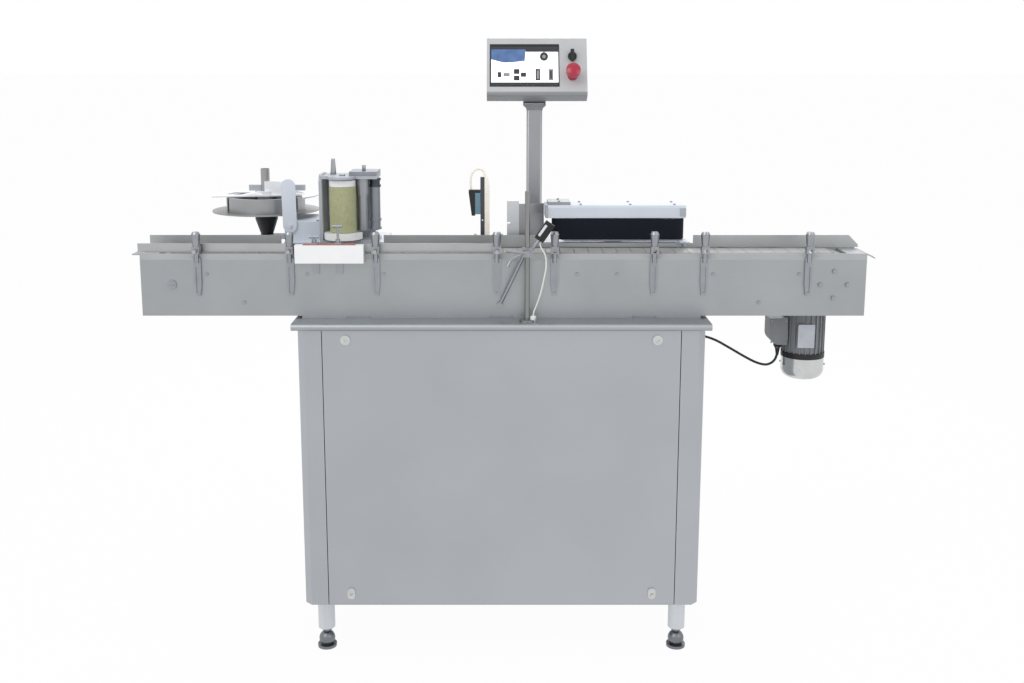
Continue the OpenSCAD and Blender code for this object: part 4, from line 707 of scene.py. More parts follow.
@dataclass
class Studio:
    """Camera, floor, world and lamps.

    Args:
        focus_px: Focal length in pixels of the photograph.
        image_px: Width of the photograph in pixels.
        eye: Place of the camera, in metres.
        pitch_deg: How far the camera looks down.
        shift: Shift of the picture against the camera's axis.
        world_level: Strength of the world's light on the object.
        floor_half: Half the floor's side, in metres.
        floor_z: Height of the floor, just under the feet.
        floor_grey: Diffuse level of the floor.
        floor_share: How much of the floor's look is plain white.
        lamps: The lamps.
    """

    focus_px: float = 1132.0
    image_px: float = 1024.0
    eye: Point = (0.0, -3.150, 1.5796)
    pitch_deg: float = 10.0
    shift: tuple[float, float] = (0.01025, -0.0702)
    world_level: float = 0.74
    floor_half: float = 400.0
    floor_z: float = -0.0004
    floor_grey: float = 0.86
    floor_share: float = 0.96
    lamps: tuple[Lamp, ...] = (
        Lamp("key", (-2.6, -3.2, 4.2), 3.0, 70),
        Lamp("fill", (3.2, -2.6, 2.6), 2.6, 24),
        Lamp("rear", (0.4, 3.0, 3.6), 3.0, 60),
    )

    def build(self) -> None:
        """Makes all of it."""
        scene = bpy.context.scene
        scene.view_settings.view_transform = "Standard"
        self._camera(scene)
        self._world(scene)
        self._floor()
        for lamp in self.lamps:
            lamp.build()

    def _camera(self, scene: bpy.types.Scene) -> None:
        """Sets the camera at the photograph's place.

        Args:
            scene: The scene that gets it.
        """
        data = bpy.data.cameras.new("camera")
        data.sensor_width = 36.0
        data.lens = self.focus_px / self.image_px * data.sensor_width
        data.shift_x, data.shift_y = self.shift
        camera = bpy.data.objects.new("camera", data)
        camera.location = self.eye
        camera.rotation_euler = (math.radians(90 - self.pitch_deg), 0, 0)
        scene.collection.objects.link(camera)
        scene.camera = camera

    def _seen(self, tree: bpy.types.NodeTree) -> bpy.types.NodeSocket:
        """Adds nodes that tell camera, mirror and glass rays from the others.

        Args:
            tree: The node tree that gets them.

        Returns:
            A socket that is 1 for these rays and 0 for others.
        """
        path = add_node(tree, "LightPath")
        both = add_node(
            tree,
            "Math",
            {0: path.outputs["Is Camera Ray"], 1: path.outputs["Is Glossy Ray"]},
            operation="MAXIMUM",
        ).outputs[0]
        return add_node(
            tree,
            "Math",
            {0: both, 1: path.outputs["Is Transmission Ray"]},
            operation="MAXIMUM",
        ).outputs[0]

    def _world(self, scene: bpy.types.Scene) -> None:
        """Adds a world that is white to look at, with a softer light on the object.

        Args:
            scene: The scene that gets it.
        """
        world = bpy.data.worlds.new("studio")
        scene.world = world
        world.use_nodes = True
        tree = world.node_tree
        tree.nodes.clear()
        strength = add_node(
            tree,
            "MapRange",
            {"Value": self._seen(tree), "To Min": self.world_level, "To Max": 1.0},
        ).outputs["Result"]
        light = add_node(
            tree, "Background", {"Color": (1, 1, 1, 1), "Strength": strength}
        ).outputs["Background"]
        add_node(tree, "OutputWorld", {"Surface": light})

    def _floor(self) -> None:
        """Adds a wide pale floor that keeps the shadow and looks white."""
        data = bpy.data.meshes.new("floor")
        signs = ((-1, -1), (1, -1), (1, 1), (-1, 1))
        corners = [(sx * self.floor_half, sy * self.floor_half, self.floor_z) for sx, sy in signs]
        data.from_pydata(corners, [], [(0, 1, 2, 3)])
        floor = bpy.data.objects.new("floor", data)
        bpy.context.scene.collection.objects.link(floor)
        material = bpy.data.materials.new("studio floor")
        material.use_nodes = True
        tree = material.node_tree
        tree.nodes.clear()
        grey = (self.floor_grey,) * 3 + (1,)
        matt = add_node(tree, "BsdfDiffuse", {"Color": grey}).outputs[0]
        white = add_node(tree, "Emission", {"Color": (1, 1, 1, 1), "Strength": 1.0}).outputs[0]
        share = add_node(
            tree, "Math", {0: self._seen(tree), 1: self.floor_share}, operation="MULTIPLY"
        ).outputs[0]
        mixed = add_node(tree, "MixShader", {0: share, 1: matt, 2: white}).outputs[0]
        add_node(tree, "OutputMaterial", {"Surface": mixed})
        data.materials.append(material)


@dataclass
class Cabinet:
    """Cabinet, counter, feet, locks and what is inside.

    Args:
        tube_ends: Box round the ends of the legs below the floor pan.
        side_gland: Box round the gland of the motor's lead.
        top_painted_light: Box round the counter's flat top, without its lip.
        balls: Box round the balls and soles of the feet.
        devices: Box round the devices on the electrical plate.
        device_rails: Box round the rails that carry them.
    """

    tube_ends: Box = ((-540, -290, 0), (540, 290, 143.9))
    side_gland: Box = ((535.2, -30, 800), (560, 20, 860))
    # top_painted_light: Box round the counter's flat top, without its lip, whose paler finish is painted
    # light.
    top_painted_light: Box = ((-560, -300, 929.9), (560, 300, 930.1))
    balls: Box = ((-600, -300, -1), (600, 300, 60))
    devices: Box = ((-400, 0, 0), (400, 139.9, 900))
    device_rails: Box = ((-400, 139.9, 150), (400, 149.9, 900))

    def build(self) -> None:
        """Dresses the cabinet."""
        dress("cabinet_frame", SHEET, (LEG, within(self.tube_ends)))
        dress("front_panel", SHEET)
        dress("cabinet_panels", SHEET, (BLACK, within(self.side_gland)))
        # The flat top gets the paler sheet finish as painted light against the shade under the conveyor.
        dress("counter_top", COUNTER, (SHEET, within(self.top_painted_light)))
        dress("leveling_feet", MACHINED, (BALL, within(self.balls)))
        for name in ("lock_top_left", "lock_top_right", "lock_low_left", "lock_low_right"):
            dress(name, POLISHED)
        dress(
            "electrical_plate",
            ZINC,
            (BLACK, within(self.devices)),
            (CAST, within(self.device_rails)),
        )


@dataclass(frozen=True)
class Gland:
    """A gland nut with its ribbed, tapered strain relief, both round a lead.

    Args:
        nut_r: Radius of the nut's corners.
        nut_l: Length of the nut behind its face.
        edge_l: How far behind the face the nut's corners end.
        cone_r: Radius at the foot of the cone in front of them.
        cone_l: Length of the cone's foot behind the face.
        face_r: Radius of the face.
        foot_r: Radius of the relief's foot.
        lap: How far the foot reaches into the nut.
        neck_r: Radius where the ribs start.
        neck_l: Distance of that from the nut's face.
        taper_r: Radius that the taper would have at the face.
        taper: How much the radius shrinks over a millimetre.
        rib: Height of a rib.
        pitch: Spacing of the ribs.
        relief_l: Length of the relief without its tip.
        tip_l: Length of the tip.
        bore: Radius of the hole for the lead.
    """

    nut_r: float = 12.4
    nut_l: float = 13.6
    edge_l: float = 4.0
    cone_r: float = 10.2
    cone_l: float = 2.4
    face_r: float = 9.4
    foot_r: float = 7.6
    lap: float = 0.5
    neck_r: float = 7.4
    neck_l: int = 2
    taper_r: float = 7.2
    taper: float = 0.16
    rib: float = 0.35
    pitch: int = 4
    relief_l: int = 22
    tip_l: float = 0.6
    bore: float = 3.7

    def nut(self) -> list[tuple[float, float]]:
        """Returns the nut's outline, as radius and height over its face."""
        foot, corner = (self.nut_r, -self.nut_l), (self.nut_r, -self.edge_l)
        return [(0, -self.nut_l), foot, corner, (self.cone_r, -self.cone_l), (self.face_r, 0), (0, 0)]

    def relief(self) -> list[tuple[float, float]]:
        """Works out the relief's outline, with a rib at every pitch.

        Returns:
            Radius and height over the nut's face of each point.
        """
        outline = [(self.foot_r, -self.lap), (self.neck_r, self.neck_l)]
        for h in range(self.neck_l + 1, self.relief_l + 1):
            outline.append((self.taper_r - self.taper * h + self.rib * (h % self.pitch == 0), h))
        return [*outline, (self.bore, self.relief_l + self.tip_l), (self.bore, -self.lap)]

    def build(self, piece: Piece, end: Point, axis: Point) -> None:
        """Adds the gland to a piece whose second finish is the relief's rubber.

        Args:
            piece: The piece that gets it.
            end: Point of the lead at the nut's face.
            axis: Direction in which the lead leaves.
        """
        piece.lathe(self.nut(), end, axis, steps=6)
        piece.lathe(self.relief(), end, axis, steps=24, finish=1)


@dataclass
class Conveyor:
    """Side plates, slat chain, drive, guide rails and their brackets.

    Args:
        motor: X and Y of the motor's upright axis.
        shaft: Middle of the gearbox's rear cover, on the drive shaft's line.
        gap: Heights of the counter and of the conveyor's lower edge.
        bolts: Box round the bolt heads in front of the plate's right end.
        seam: Box round the black ring between motor and fan cover.
        nameplate: Box round the motor's bare plate.
        terminal_box: Box round the terminal box.
        cover_r: Radius of the gearbox cover's ring of screws.
        flange: Half the spacing and the height of the motor flange's screws.
        fan_screws: Half the spacings in X and Y and the height of the fan cover's screws.
        lid_x: X of the terminal box lid's screws.
        lid_z: Their heights.
        lid_reach: How far the lid is in front of the motor's axis.
        fill_y: Fronts of the two rows of strips that close the gap as painted light.
        fill_x: Ends of the strips of a row, between the conveyor's supports.
        fill_t: Thickness of a strip.
        play: Play above and below a strip.
        gland: Gland at each end of the motor's lead.
        route: Route of the motor's lead.
    """

    motor: tuple[float, float] = (849.0, -44.0)
    shaft: Point = (880.0, 0.0, 1020.0)
    gap: tuple[float, float] = (930.0, 936.0)
    bolts: Box = ((800, -220, 946), (964, -206.1, 1100))
    seam: Box = ((780, -120, 786.9), (920, 30, 802.1))
    nameplate: Box = ((818.5, -104, 821.5), (865.5, -98, 888.5))
    terminal_box: Box = ((746, -76, 809), (797.6, -12, 901))
    cover_r: float = 42.0
    flange: tuple[float, float] = (25.0, 949.6)
    fan_screws: Point = (57.5, 18.0, 766.0)
    lid_x: tuple[float, float] = (752.0, 792.0)
    lid_z: tuple[float, float] = (832.0, 892.0)
    lid_reach: float = 31.0
    fill_y: tuple[float, float] = (-204.8, -89.6)
    fill_x: tuple[tuple[float, float], ...] = ((-530, -411), (-349, -31), (31, 349), (411, 530))
    fill_t: float = 1.5
    play: float = 0.05
    gland: Gland = Gland()
    route: tuple[Point, ...] = (
        (549, -10, 836), (575, -10, 834), (610, -10, 822), (650, -12, 800), (690, -16, 777),
        (725, -22, 760), (752, -30, 756), (770, -38, 768), (777, -44, 788), (778, -44, 810),
    )

    def build(self) -> None:
        """Dresses the conveyor and adds its small pieces."""
        dress("conveyor_plates", PLATE)
        dress("wear_strips", STRIP)
        dress("slat_chain", SLATS)
        dress("shaft_bearings", CAST, (MACHINED, within(self.bolts)))
        dress("transfer_plates", COUNTER)
        dress("gearbox", CAST)
        dress(
            "motor_body",
            ENAMEL,
            (BLACK, within(self.seam)),
            (LABEL_PLATE, within(self.nameplate)),
            (CAST, within(self.terminal_box)),
        )
        dress("fan_cover", POLISHED)
        for node in ("drive_sprocket", "tail_wheel", "motor_rotor"):
            dress(node, BLACK)
        for node in ("cross_spacers", "drive_shaft", "rail_brackets", "rail_knobs"):
            dress(node, MACHINED)
        for node in ("front_rail", "rear_rail"):
            dress(node, RAIL)
        soften("gearbox", width_mm=2.0)
        self._bolts()
        self._gap_fill()
        self._glands()
        lead = Lead(
            "motor_lead", "motor_cable", "cable_black", LEAD_BLACK, width_mm=7.0, route=self.route
        )
        lead.build("medium", "hanging")

    def _bolts(self) -> None:
        """Adds the cap screws of the gearbox, its flange and the motor."""
        piece = Piece("drive_screws", "machine", "machined_steel", (MACHINED,))
        x, y, z = self.shaft
        for k in range(6):
            a = math.radians(60 * k + 30)
            at = (x + self.cover_r * math.cos(a), y, z + self.cover_r * math.sin(a))
            piece.screw(at, (0, 1, 0), Head.LARGE)
        x, y = self.motor
        spacing, flange_z = self.flange
        out_x, out_y, fan_z = self.fan_screws
        for sx in (-1, 1):
            for sy in (-1, 1):
                piece.screw((x + sx * spacing, y + sy * spacing, flange_z), (0, 0, 1), Head.MEDIUM)
                piece.screw((x + sx * out_x, y + sy * out_y, fan_z), (sx, 0, 0), Head.FLAT)
        for u in self.lid_x:
            for v in self.lid_z:
                piece.screw((u, y - self.lid_reach, v), (0, -1, 0), Head.TINY)
        piece.done()

    def _gap_fill(self) -> None:
        """Adds thin strips in the plate's finish that close the gap between conveyor and counter, as
        painted light over the gap's shade.
        """
        piece = Piece("gap_fill_strips", "machine", "stainless_sheet", (PLATE,))
        low, high = self.gap[0] + self.play, self.gap[1] - self.play
        for front in self.fill_y:
            for left, right in self.fill_x:
                piece.box((left, front, low), (right, front + self.fill_t, high))
        piece.done()

    def _glands(self) -> None:
        """Adds the glands at both ends of the motor's lead."""
        piece = Piece("motor_lead_glands", "machine", "black_plastic", (BLACK, LEAD_BLACK))
        self.gland.build(piece, self.route[0], (1, 0, 0))
        self.gland.build(piece, self.route[-1], (0, 0, -1))
        piece.done()


class Ink(IntEnum):
    """Finishes of the screen's page, by their number in its piece."""

    WHITE = 0
    BLUE = 1
    DARK = 2
    GREY = 3


@dataclass
class OperatorPanel:
    """Pole, yoke, housing, screen and buttons.

    Args:
        tilt_deg: How far the face leans back.
        foot: Lower left corner of the face.
        button: The emergency button's place on the face, across and up.
        collar: Reach of the collar round it, and the collar's lowest and highest level.
        lip_top: Height on the face below which the housing is its lower lip.
        screen: Middle of the page on the face, across and up.
        half: Half sides of the page.
        page_out: How far the page is above the face.
        layer: Step between a figure and what it lies on.
        sky_shares: Outline of the blue corner, in shares of the half sides.
        edge_shares: Middle and half sides of the dark edges.
        key_shares: Middle, half sides and ink of each key.
        inlay_shares: Middle, half sides and ink of what lies on two of the keys.
        dial_shares: Middle and half sides of the dial.
        dial_discs: Share, level and ink of the dial's two discs.
        back_x: Places across of the screws in the housing's back.
        back_up: Places up of these screws.
        back_y: Depth of the housing.
    """

    tilt_deg: float = 25.0
    foot: Point = (0.0, 62.0, 1520.0)
    button: tuple[float, float] = (200.0, 48.0)
    collar: tuple[float, float, float] = (16.0, 0.05, 24.0)
    lip_top: float = -0.5
    screen: tuple[float, float] = (66.0, 78.0)
    half: tuple[float, float] = (95.0, 59.0)
    page_out: float = 0.72
    layer: float = 0.05
    sky_shares: tuple[tuple[float, float], ...] = (
        (-1, 0.86), (0.02, 0.86), (0, 0.26), (-0.2, 0.22), (-0.4, 0.18), (-0.62, 0.17),
        (-0.8, 0.24), (-1, 0.34),
    )
    edge_shares: tuple[Shares, ...] = (
        (0, -0.925, 1, 0.075), (0, 0.93, 1, 0.07), (0.51, 0.80, 0.49, 0.07),
    )
    key_shares: tuple[tuple[Shares, Ink], ...] = (
        ((-0.755, -0.455, 0.055, 0.14), Ink.DARK),
        ((-0.544, -0.455, 0.095, 0.10), Ink.GREY),
        ((-0.245, -0.29, 0.085, 0.13), Ink.DARK),
        ((-0.245, -0.63, 0.085, 0.13), Ink.DARK),
        ((-0.044, -0.455, 0.08, 0.115), Ink.DARK),
        ((0.382, -0.455, 0.07, 0.30), Ink.DARK),
        ((0.77, -0.455, 0.075, 0.30), Ink.GREY),
    )
    inlay_shares: tuple[tuple[Shares, Ink], ...] = (
        ((0.382, -0.455, 0.03, 0.22), Ink.GREY),
        ((0.77, -0.455, 0.03, 0.22), Ink.DARK),
    )
    dial_shares: Shares = (0.569, 0.49, 0.125, 0.23)
    dial_discs: tuple[tuple[float, float, Ink], ...] = ((1.0, 3.0, Ink.DARK), (0.4, 4.2, Ink.GREY))
    back_x: tuple[float, float] = (-28.0, 228.0)
    back_up: tuple[float, float] = (18.0, 146.0)
    back_y: float = 50.0

    def place(self) -> Matrix:
        """Returns the matrix from the face's own X, depth and height to the frame."""
        lean = Matrix.Rotation(-math.radians(self.tilt_deg), 4, "X")
        return Matrix.Translation(Vector(self.foot)) @ lean

    def on_collar(self, p: Vector) -> bool:
        """Tells whether a point is on the collar under the emergency button.

        Args:
            p: The point, in metres.

        Returns:
            True on the collar.
        """
        q = self.place().inverted() @ (p / MM)
        (x, up), (reach, low, high) = self.button, self.collar
        return math.hypot(q.x - x, q.z - up) < reach and low < -q.y < high

    def on_lip(self, p: Vector) -> bool:
        """Tells whether a point is on the rounded lower lip."""
        return (self.place().inverted() @ (p / MM)).z < self.lip_top

    def build(self) -> None:
        """Dresses the panel and adds the screen's page."""
        dress("hmi_pole", TUBE)
        dress("hmi_yoke", CAST)
        # The lower lip takes a darker copy of the coat as painted shade.
        dress("hmi_housing", PANEL, (RED, self.on_collar), (PANEL_LIP_PAINTED_SHADE, self.on_lip))
        dress("hmi_screen", BLACK)
        dress("estop_button", RED)
        dress("selector_knob", BLACK)
        soften("hmi_housing", width_mm=1.5)
        soften("hmi_pole", width_mm=1.5)
        self._page()
        self._screws()

    def _page(self) -> None:
        """Adds the lit page: a pale field, a blue sky corner, plain keys and a dial."""
        inks = (PAGE_WHITE, PAGE_BLUE, PAGE_DARK, PAGE_GREY)
        piece = Piece("screen_page", "panel", "screen_glass", inks)
        cx, cz = self.screen
        w, h = self.half
        place = self.place()

        def face(points: Sequence[tuple[float, float]], ink: Ink, level: float) -> None:
            """Adds a flat figure of the page, in shares of its half sides."""
            out = -self.page_out - self.layer * level
            piece.plate([(cx + u * w, out, cz + v * h) for u, v in points], ink, place)

        def bar(shares: Shares, ink: Ink, level: float) -> None:
            """Adds a rectangle of the page round its middle."""
            u, v, du, dv = shares
            face([(u - du, v - dv), (u + du, v - dv), (u + du, v + dv), (u - du, v + dv)], ink, level)

        bar((0, 0, 1, 1), Ink.WHITE, level=0)
        face(self.sky_shares, Ink.BLUE, level=1)
        for shares in self.edge_shares:
            bar(shares, Ink.DARK, level=1)
        for shares, ink in self.key_shares:
            bar(shares, ink, level=2)
        for shares, ink in self.inlay_shares:
            bar(shares, ink, level=3)
        u, v, du, dv = self.dial_shares
        turns = [k * math.pi / 12 for k in range(24)]
        for share, level, ink in self.dial_discs:
            disc = [(u + du * share * math.cos(a), v + dv * share * math.sin(a)) for a in turns]
            face(disc, ink, level)
        piece.done()

    def _screws(self) -> None:
        """Adds the screws at the back of the housing."""
        piece = Piece("panel_screws", "panel", "machined_steel", (MACHINED,))
        turn = self.place()
        for x in self.back_x:
            for up in self.back_up:
                at = turn @ Vector((x, self.back_y, up))
                axis = turn.to_3x3() @ Vector((0, 1, 0))
                piece.screw(tuple(at), tuple(axis), Head.SMALL)
        piece.done()


@dataclass
class LabelReel:
    """Reel, brake, leaning bar and the light box beside it.

    Args:
        brake: Box round the brake block under the reel.
        clamp_bar: Box round the bar that clamps the upper flange.
        box_x: Places across of the light box's screws.
        box_y: Their depths.
        box_z: Height of the light box.
        table_spots: X and Y of the screws in the tables.
        table_z: Height of the tables.
    """

    brake: Box = ((-718, 55, 1112.05), (-638, 135, 1180))
    clamp_bar: Box = ((-738, 95.9, 1238.05), (-558, 115, 1256))
    box_x: tuple[float, float] = (-590, -510)
    box_y: tuple[float, float] = (-36, 115)
    box_z: float = 1167.0
    table_spots: tuple[tuple[float, float], ...] = (
        (-75, -45), (-75, 62), (505, 62), (255, 62), (505, -40), (0, 62),
    )
    table_z: float = 1112.0

    def build(self) -> None:
        """Dresses the reel."""
        dress("base_plates", POWDER_PALE, (BLACK, within(self.brake)))
        dress("head_box", POWDER)
        dress("web_arm", POWDER)
        # The disc's darker grey is painted shadow from the flange above.
        dress("reel_disc", DISC_PAINTED_SHADE)
        dress("reel_flange", FLANGE, (FRAME_GREY, within(self.clamp_bar)))
        dress("mount_posts", MACHINED)
        soften("head_box", width_mm=2.0)
        soften("web_arm", width_mm=1.0)
        self._screws()

    def _screws(self) -> None:
        """Adds the screws of the light box and the tables."""
        piece = Piece("table_screws", "machine", "machined_steel", (MACHINED,))
        for u in self.box_x:
            for v in self.box_y:
                piece.screw((u, v, self.box_z), (0, 0, 1), Head.MEDIUM)
        for u, v in self.table_spots:
            piece.screw((u, v, self.table_z), (0, 0, 1), Head.LARGE)
        piece.done()


@dataclass
class Separator:
    """Frame, foam wheel, rollers and the white guide block.

    Args:
        axis: X and Y of the foam wheel's axis.
        foam_r: Radius of the foam.
        core_r: Radius of its core.
        span: Heights of the foam's ends.
        bevel: Width of the foam's rounded rim.
        corner: How far the middle of that rim is in from side and end.
        rows: Rows of faces over the foam's height.
        around: Faces round it.
        dip: How deep the cut face dips, on average.
        waves: Waves of the dips round the foam, crossing each other.
        twist: How far they turn over a millimetre of height, in radians.
        wall_painted_light: Box round the inner face of the frame's left wall, whose pale finish is
            painted light in its shade.
        lid_bar: Box round the bar on the frame's top.
        pegs: Box round the pegs on the top.
        hub_disc: Box round the white disc under the foam.
        hub_cap: Box round the white cap above it.
        roller_sleeve: Box round the lower part of the right guide roller.
        red_strip: Box round the strip on the guide block.
    """

    axis: tuple[float, float] = (-434.0, -70.0)
    foam_r: float = 37.0
    core_r: float = 15.2
    span: tuple[float, float] = (1142.0, 1268.0)
    bevel: float = 3.0
    corner: float = 1.0
    rows: int = 26
    around: int = 72
    dip: float = 0.35
    waves: tuple[int, int] = (5, 3)
    twist: tuple[float, float] = (0.11, -0.07)
    wall_painted_light: Box = ((-489.5, -120, 1130), (-488.5, 60, 1296))
    lid_bar: Box = ((-415.5, -80, 1296.05), (-330, 30, 1307.3))
    pegs: Box = ((-520, -60, 1296.05), (-320, 0, 1345))
    hub_disc: Box = ((-490, -130, 1123.6), (-370, -10, 1141.8))
    hub_cap: Box = ((-475, -110, 1268.2), (-393, -30, 1285.1))
    roller_sleeve: Box = ((-400, -120, 1100), (-300, 60, 1238))
    red_strip: Box = ((-560, -240, 1129.05), (-340, -200, 1133))

    def build(self) -> None:
        """Dresses the separator and makes its foam."""
        dress(
            "separator_frame",
            FRAME_GREY,
            # The wall's inner face gets the pale flange finish as painted light in the shade beside the
            # foam.
            (FLANGE, within(self.wall_painted_light)),
            (MID_ANODISED, within(self.lid_bar)),
            (MACHINED, within(self.pegs)),
        )
        dress("wheel_hub", MACHINED, (ACETAL, within(self.hub_disc)), (ACETAL, within(self.hub_cap)))
        dress("guide_roller_a", ROLLER)
        dress("guide_roller_b", DARK_ANODISED, (MID_ANODISED, within(self.roller_sleeve)))
        dress("guide_block", ACETAL, (RED_RUBBER, within(self.red_strip)))
        dress("block_brackets", MACHINED)
        soften("guide_block", width_mm=1.5)
        soften("separator_frame", width_mm=0.8)
        self._foam()

    def _foam(self) -> None:
        """Makes the foam sleeve, with rounded ends and a slightly uneven cut face."""
        piece = Piece("foam_sleeve", "separator_wheel", "foam_rubber", (FOAM,))
        low, high = self.span
        r, core, rim, corner = self.foam_r, self.core_r, self.foam_r - self.bevel, self.corner
        side = low + self.bevel + corner
        tall = high - low - 2 * (self.bevel + corner)
        profile = [(core, low), (rim, low), (r - corner, low + corner)]
        profile += [(r, side + tall * k / self.rows) for k in range(self.rows + 1)]
        profile += [(r - corner, high - corner), (rim, high), (core, high), (core, low)]
        x, y = self.axis
        piece.lathe(profile, (x, y, 0), steps=self.around)
        for v in piece.mesh.verts:
            across, back = v.co.x - x, v.co.y - y
            if math.hypot(across, back) > r - corner / 2:
                a = math.atan2(back, across)
                one, two = (math.sin(n * a + v.co.z * t) for n, t in zip(self.waves, self.twist))
                out = Vector((math.cos(a), math.sin(a), 0))
                v.co -= out * (self.dip + self.dip * one * two)
        piece.done(replaces=("foam_roller",))


@dataclass
class Sensors:
    """Label sensor, peel plate, bottle sensor with its rod and clamp.

    Args:
        photo: Middle of the bottle sensor.
        lean_deg: How far the bottle sensor leans.
        lens_x: Ends of its lens, from the sensor's middle along its own X.
        lens_reach: Half the lens's length.
        lens_front: Depth in front of which the lens lies.
        sleeve: Box round the post's cream sleeve.
        sleeve_head: Box round the sleeve's bent end.
        head_face: Box round the teal face of the label sensor.
        peel_front_painted_light: Box round the bright front of the peel plate.
        rod_gland: Box round the white gland on the rod's foot.
        loop: Route of the label sensor's lead.
        drop: Route of the bottle sensor's lead.
    """

    photo: Point = (112.0, -242.0, 1167.0)
    lean_deg: float = 35.0
    lens_x: tuple[float, float] = (-10.2, -3.2)
    lens_reach: float = 17.0
    lens_front: float = -7.0
    sleeve: Box = ((-46.45, -60, 1112), (-25, -40, 1301))
    sleeve_head: Box = ((-53, -60, 1292), (-40, -40, 1301))
    head_face: Box = ((-72.45, -60, 1188.9), (-58, -40, 1247.95))
    # peel_front_painted_light: Box round the front of the peel plate, whose paler finish is painted
    # light.
    peel_front_painted_light: Box = ((14, -63, 1112), (47.9, -20, 1227))
    rod_gland: Box = ((74.5, -260, 936.1), (92, -240, 946))
    loop: tuple[Point, ...] = (
        (-83, -50, 1256.5), (-85, -50, 1275), (-83, -50, 1295), (-75, -50, 1308),
        (-64, -50, 1313), (-54, -50, 1311), (-49, -50, 1305.5), (-48, -50, 1301.2),
    )
    drop: tuple[Point, ...] = (
        (103, -242, 1140), (100, -242, 1134), (104, -242, 1122), (114, -244, 1104),
        (116, -246, 1075), (110, -247, 1040), (102, -248, 1005), (92, -249, 975),
        (85, -250, 957), (83, -250, 945),
    )

    def on_lens(self, p: Vector) -> bool:
        """Tells whether a point is on the bottle sensor's lens.

        Args:
            p: The point, in metres.

        Returns:
            True on the lens.
        """
        q = Matrix.Rotation(-math.radians(self.lean_deg), 3, "Y") @ (p / MM - Vector(self.photo))
        left, right = self.lens_x
        return left < q.x < right and abs(q.z) < self.lens_reach and q.y < self.lens_front

    def build(self) -> None:
        """Dresses the sensors and lays their leads."""
        dress(
            "sensor_post",
            DARK_ANODISED,
            (CREAM, within(self.sleeve)),
            (CREAM, within(self.sleeve_head)),
        )
        dress("sensor_head", BLACK, (TEAL, within(self.head_face)))
        # The front is paler as painted light, and the other faces take the darker tube finish as painted
        # shade.
        dress("peel_plate", TUBE, (PEEL_PAINTED_LIGHT, within(self.peel_front_painted_light)))
        dress("support_rod", DRAWN, (ACETAL, within(self.rod_gland)))
        dress("cross_clamp", MACHINED)
        dress("clamp_lever", MACHINED)
        # The lens's pale grey is a painted highlight.
        dress("photo_sensor", BLACK, (LENS_PAINTED_GLINT, self.on_lens))
        loop = Lead(
            "sensor_lead", "sensor_cable", "cream_plastic", CREAM, width_mm=6.0, route=self.loop
        )
        loop.build("medium", "loose")
        drop = Lead(
            "photo_lead", "photo_cable", "cable_white", LEAD_WHITE, width_mm=4.0, route=self.drop
        )
        drop.build("limp", "loose")


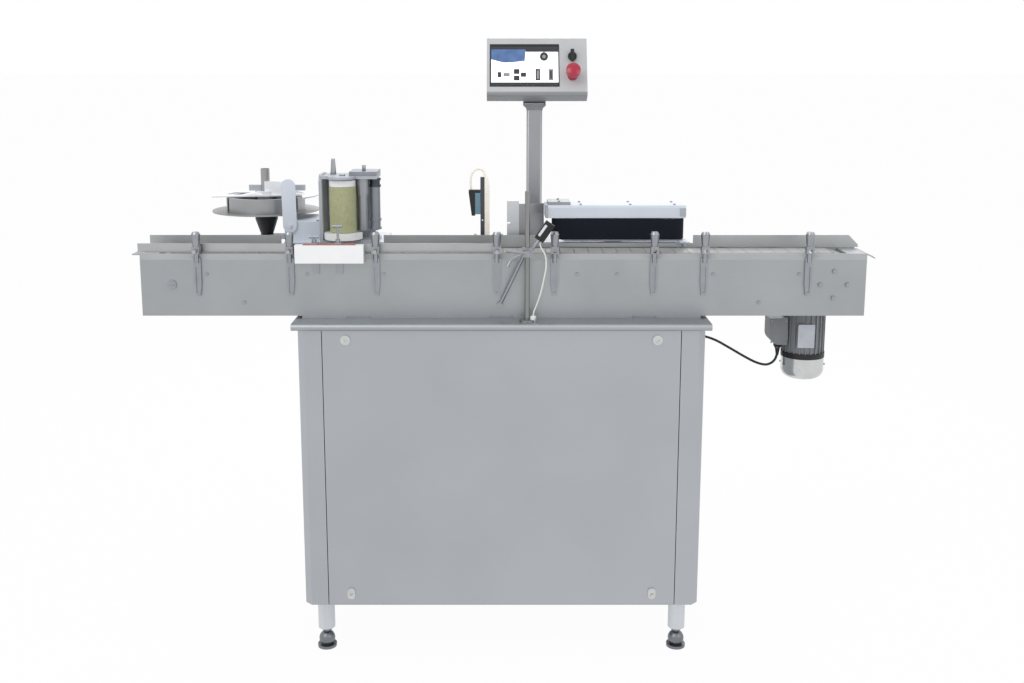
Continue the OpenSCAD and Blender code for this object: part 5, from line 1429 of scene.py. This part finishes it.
@dataclass
class WrapUnit:
    """Housing, rollers and the belt that turns the bottle.

    Args:
        left: X of the idler roller.
        right: X of the drive roller.
        middle_y: Depth of both rollers.
        inner_r: Radius of the belt's inside round a roller.
        outer_r: Radius of its outside.
        span: Heights of the belt's edges.
        bevel: Width of its rounded edges.
        turn_steps: Steps of the belt round a roller.
        end_cap: Box round the housing's left end cap.
        gear_cap: Box round the plate on the gear at the left.
        end_tab: Box round the tab at the front right corner.
        pin: Box round the pin under the right end.
        top_x: Places across of the screws in the housing's top.
        top_y: Their depths.
        top_z: Height of the top.
        cap_x: Place across of the gear cap's screws.
        cap_y: Their depths.
        cap_z: Height of the gear cap.
    """

    left: float = 170.0
    right: float = 465.0
    middle_y: float = -75.0
    inner_r: float = 30.0
    outer_r: float = 33.0
    span: tuple[float, float] = (1126.0, 1182.0)
    bevel: float = 0.8
    turn_steps: int = 24
    end_cap: Box = ((115, -110, 1180), (125.95, -10, 1230))
    gear_cap: Box = ((125.9, -110, 1219.05), (190, -10, 1230))
    end_tab: Box = ((480, -106, 1180), (501, -102.05, 1215))
    pin: Box = ((480, -125, 1100), (504, -100, 1119.45))
    top_x: tuple[float, float, float] = (215, 350, 470)
    top_y: tuple[float, float] = (-90, -28)
    top_z: float = 1219.0
    cap_x: float = 156.0
    cap_y: tuple[float, float] = (-88, -30)
    cap_z: float = 1227.0

    def build(self) -> None:
        """Dresses the unit and makes its belt."""
        dress(
            "wrap_housing",
            POWDER,
            (FRAME_GREY, within(self.end_cap)),
            (ROLLER, within(self.gear_cap)),
            (FRAME_GREY, within(self.end_tab)),
            (MACHINED, within(self.pin)),
        )
        dress("wrap_drive_roller", CLEAR_ANODISED)
        dress("wrap_idler_roller", CLEAR_ANODISED)
        soften("wrap_housing", width_mm=1.2)
        self._belt()
        self._screws()

    def _belt(self) -> None:
        """Makes the belt round both rollers, with its two outer edges rounded."""
        piece = Piece("wrap_belt_band", "wrap_unit", "belt_rubber", (BELT,))
        low, high = self.span
        r0, r1, cut = self.inner_r, self.outer_r, self.bevel
        section = [(r0, low), (r1 - cut, low), (r1, low + cut), (r1, (low + high) / 2)]
        section += [(r1, high - cut), (r1 - cut, high), (r0, high)]
        section += [(r0, high - (high - low) * k / 4) for k in range(1, 4)]
        rings = []
        for turn, x in ((-90, self.right), (90, self.left)):
            for k in range(self.turn_steps + 1):
                a = math.radians(turn + 180 / self.turn_steps * k)
                spots = ((x + r * math.cos(a), self.middle_y + r * math.sin(a), z) for r, z in section)
                rings.append([piece.mesh.verts.new(p) for p in spots])
        for ring, after in zip(rings, rings[1:] + rings[:1]):
            for k in range(len(section)):
                j = (k + 1) % len(section)
                piece.mesh.faces.new([ring[k], after[k], after[j], ring[j]])
        piece.done(replaces=("wrap_belt",))

    def _screws(self) -> None:
        """Adds the screws on the housing's top and the gear cap."""
        piece = Piece("wrap_screws", "wrap_unit", "machined_steel", (MACHINED,))
        for u in self.top_x:
            for v in self.top_y:
                piece.screw((u, v, self.top_z), (0, 0, 1), Head.SMALL)
        for v in self.cap_y:
            piece.screw((self.cap_x, v, self.cap_z), (0, 0, 1), Head.SMALL)
        piece.done()


def main() -> None:
    """Builds the studio and every sub-assembly in order."""
    logging.basicConfig(level=logging.INFO, format="%(name)s %(message)s")
    Studio().build()
    parts = (Cabinet(), Conveyor(), OperatorPanel(), LabelReel(), Separator(), Sensors(), WrapUnit())
    for part in parts:
        part.build()
        LOG.info("finished %s", type(part).__name__)


if __name__ == "__main__":
    main()
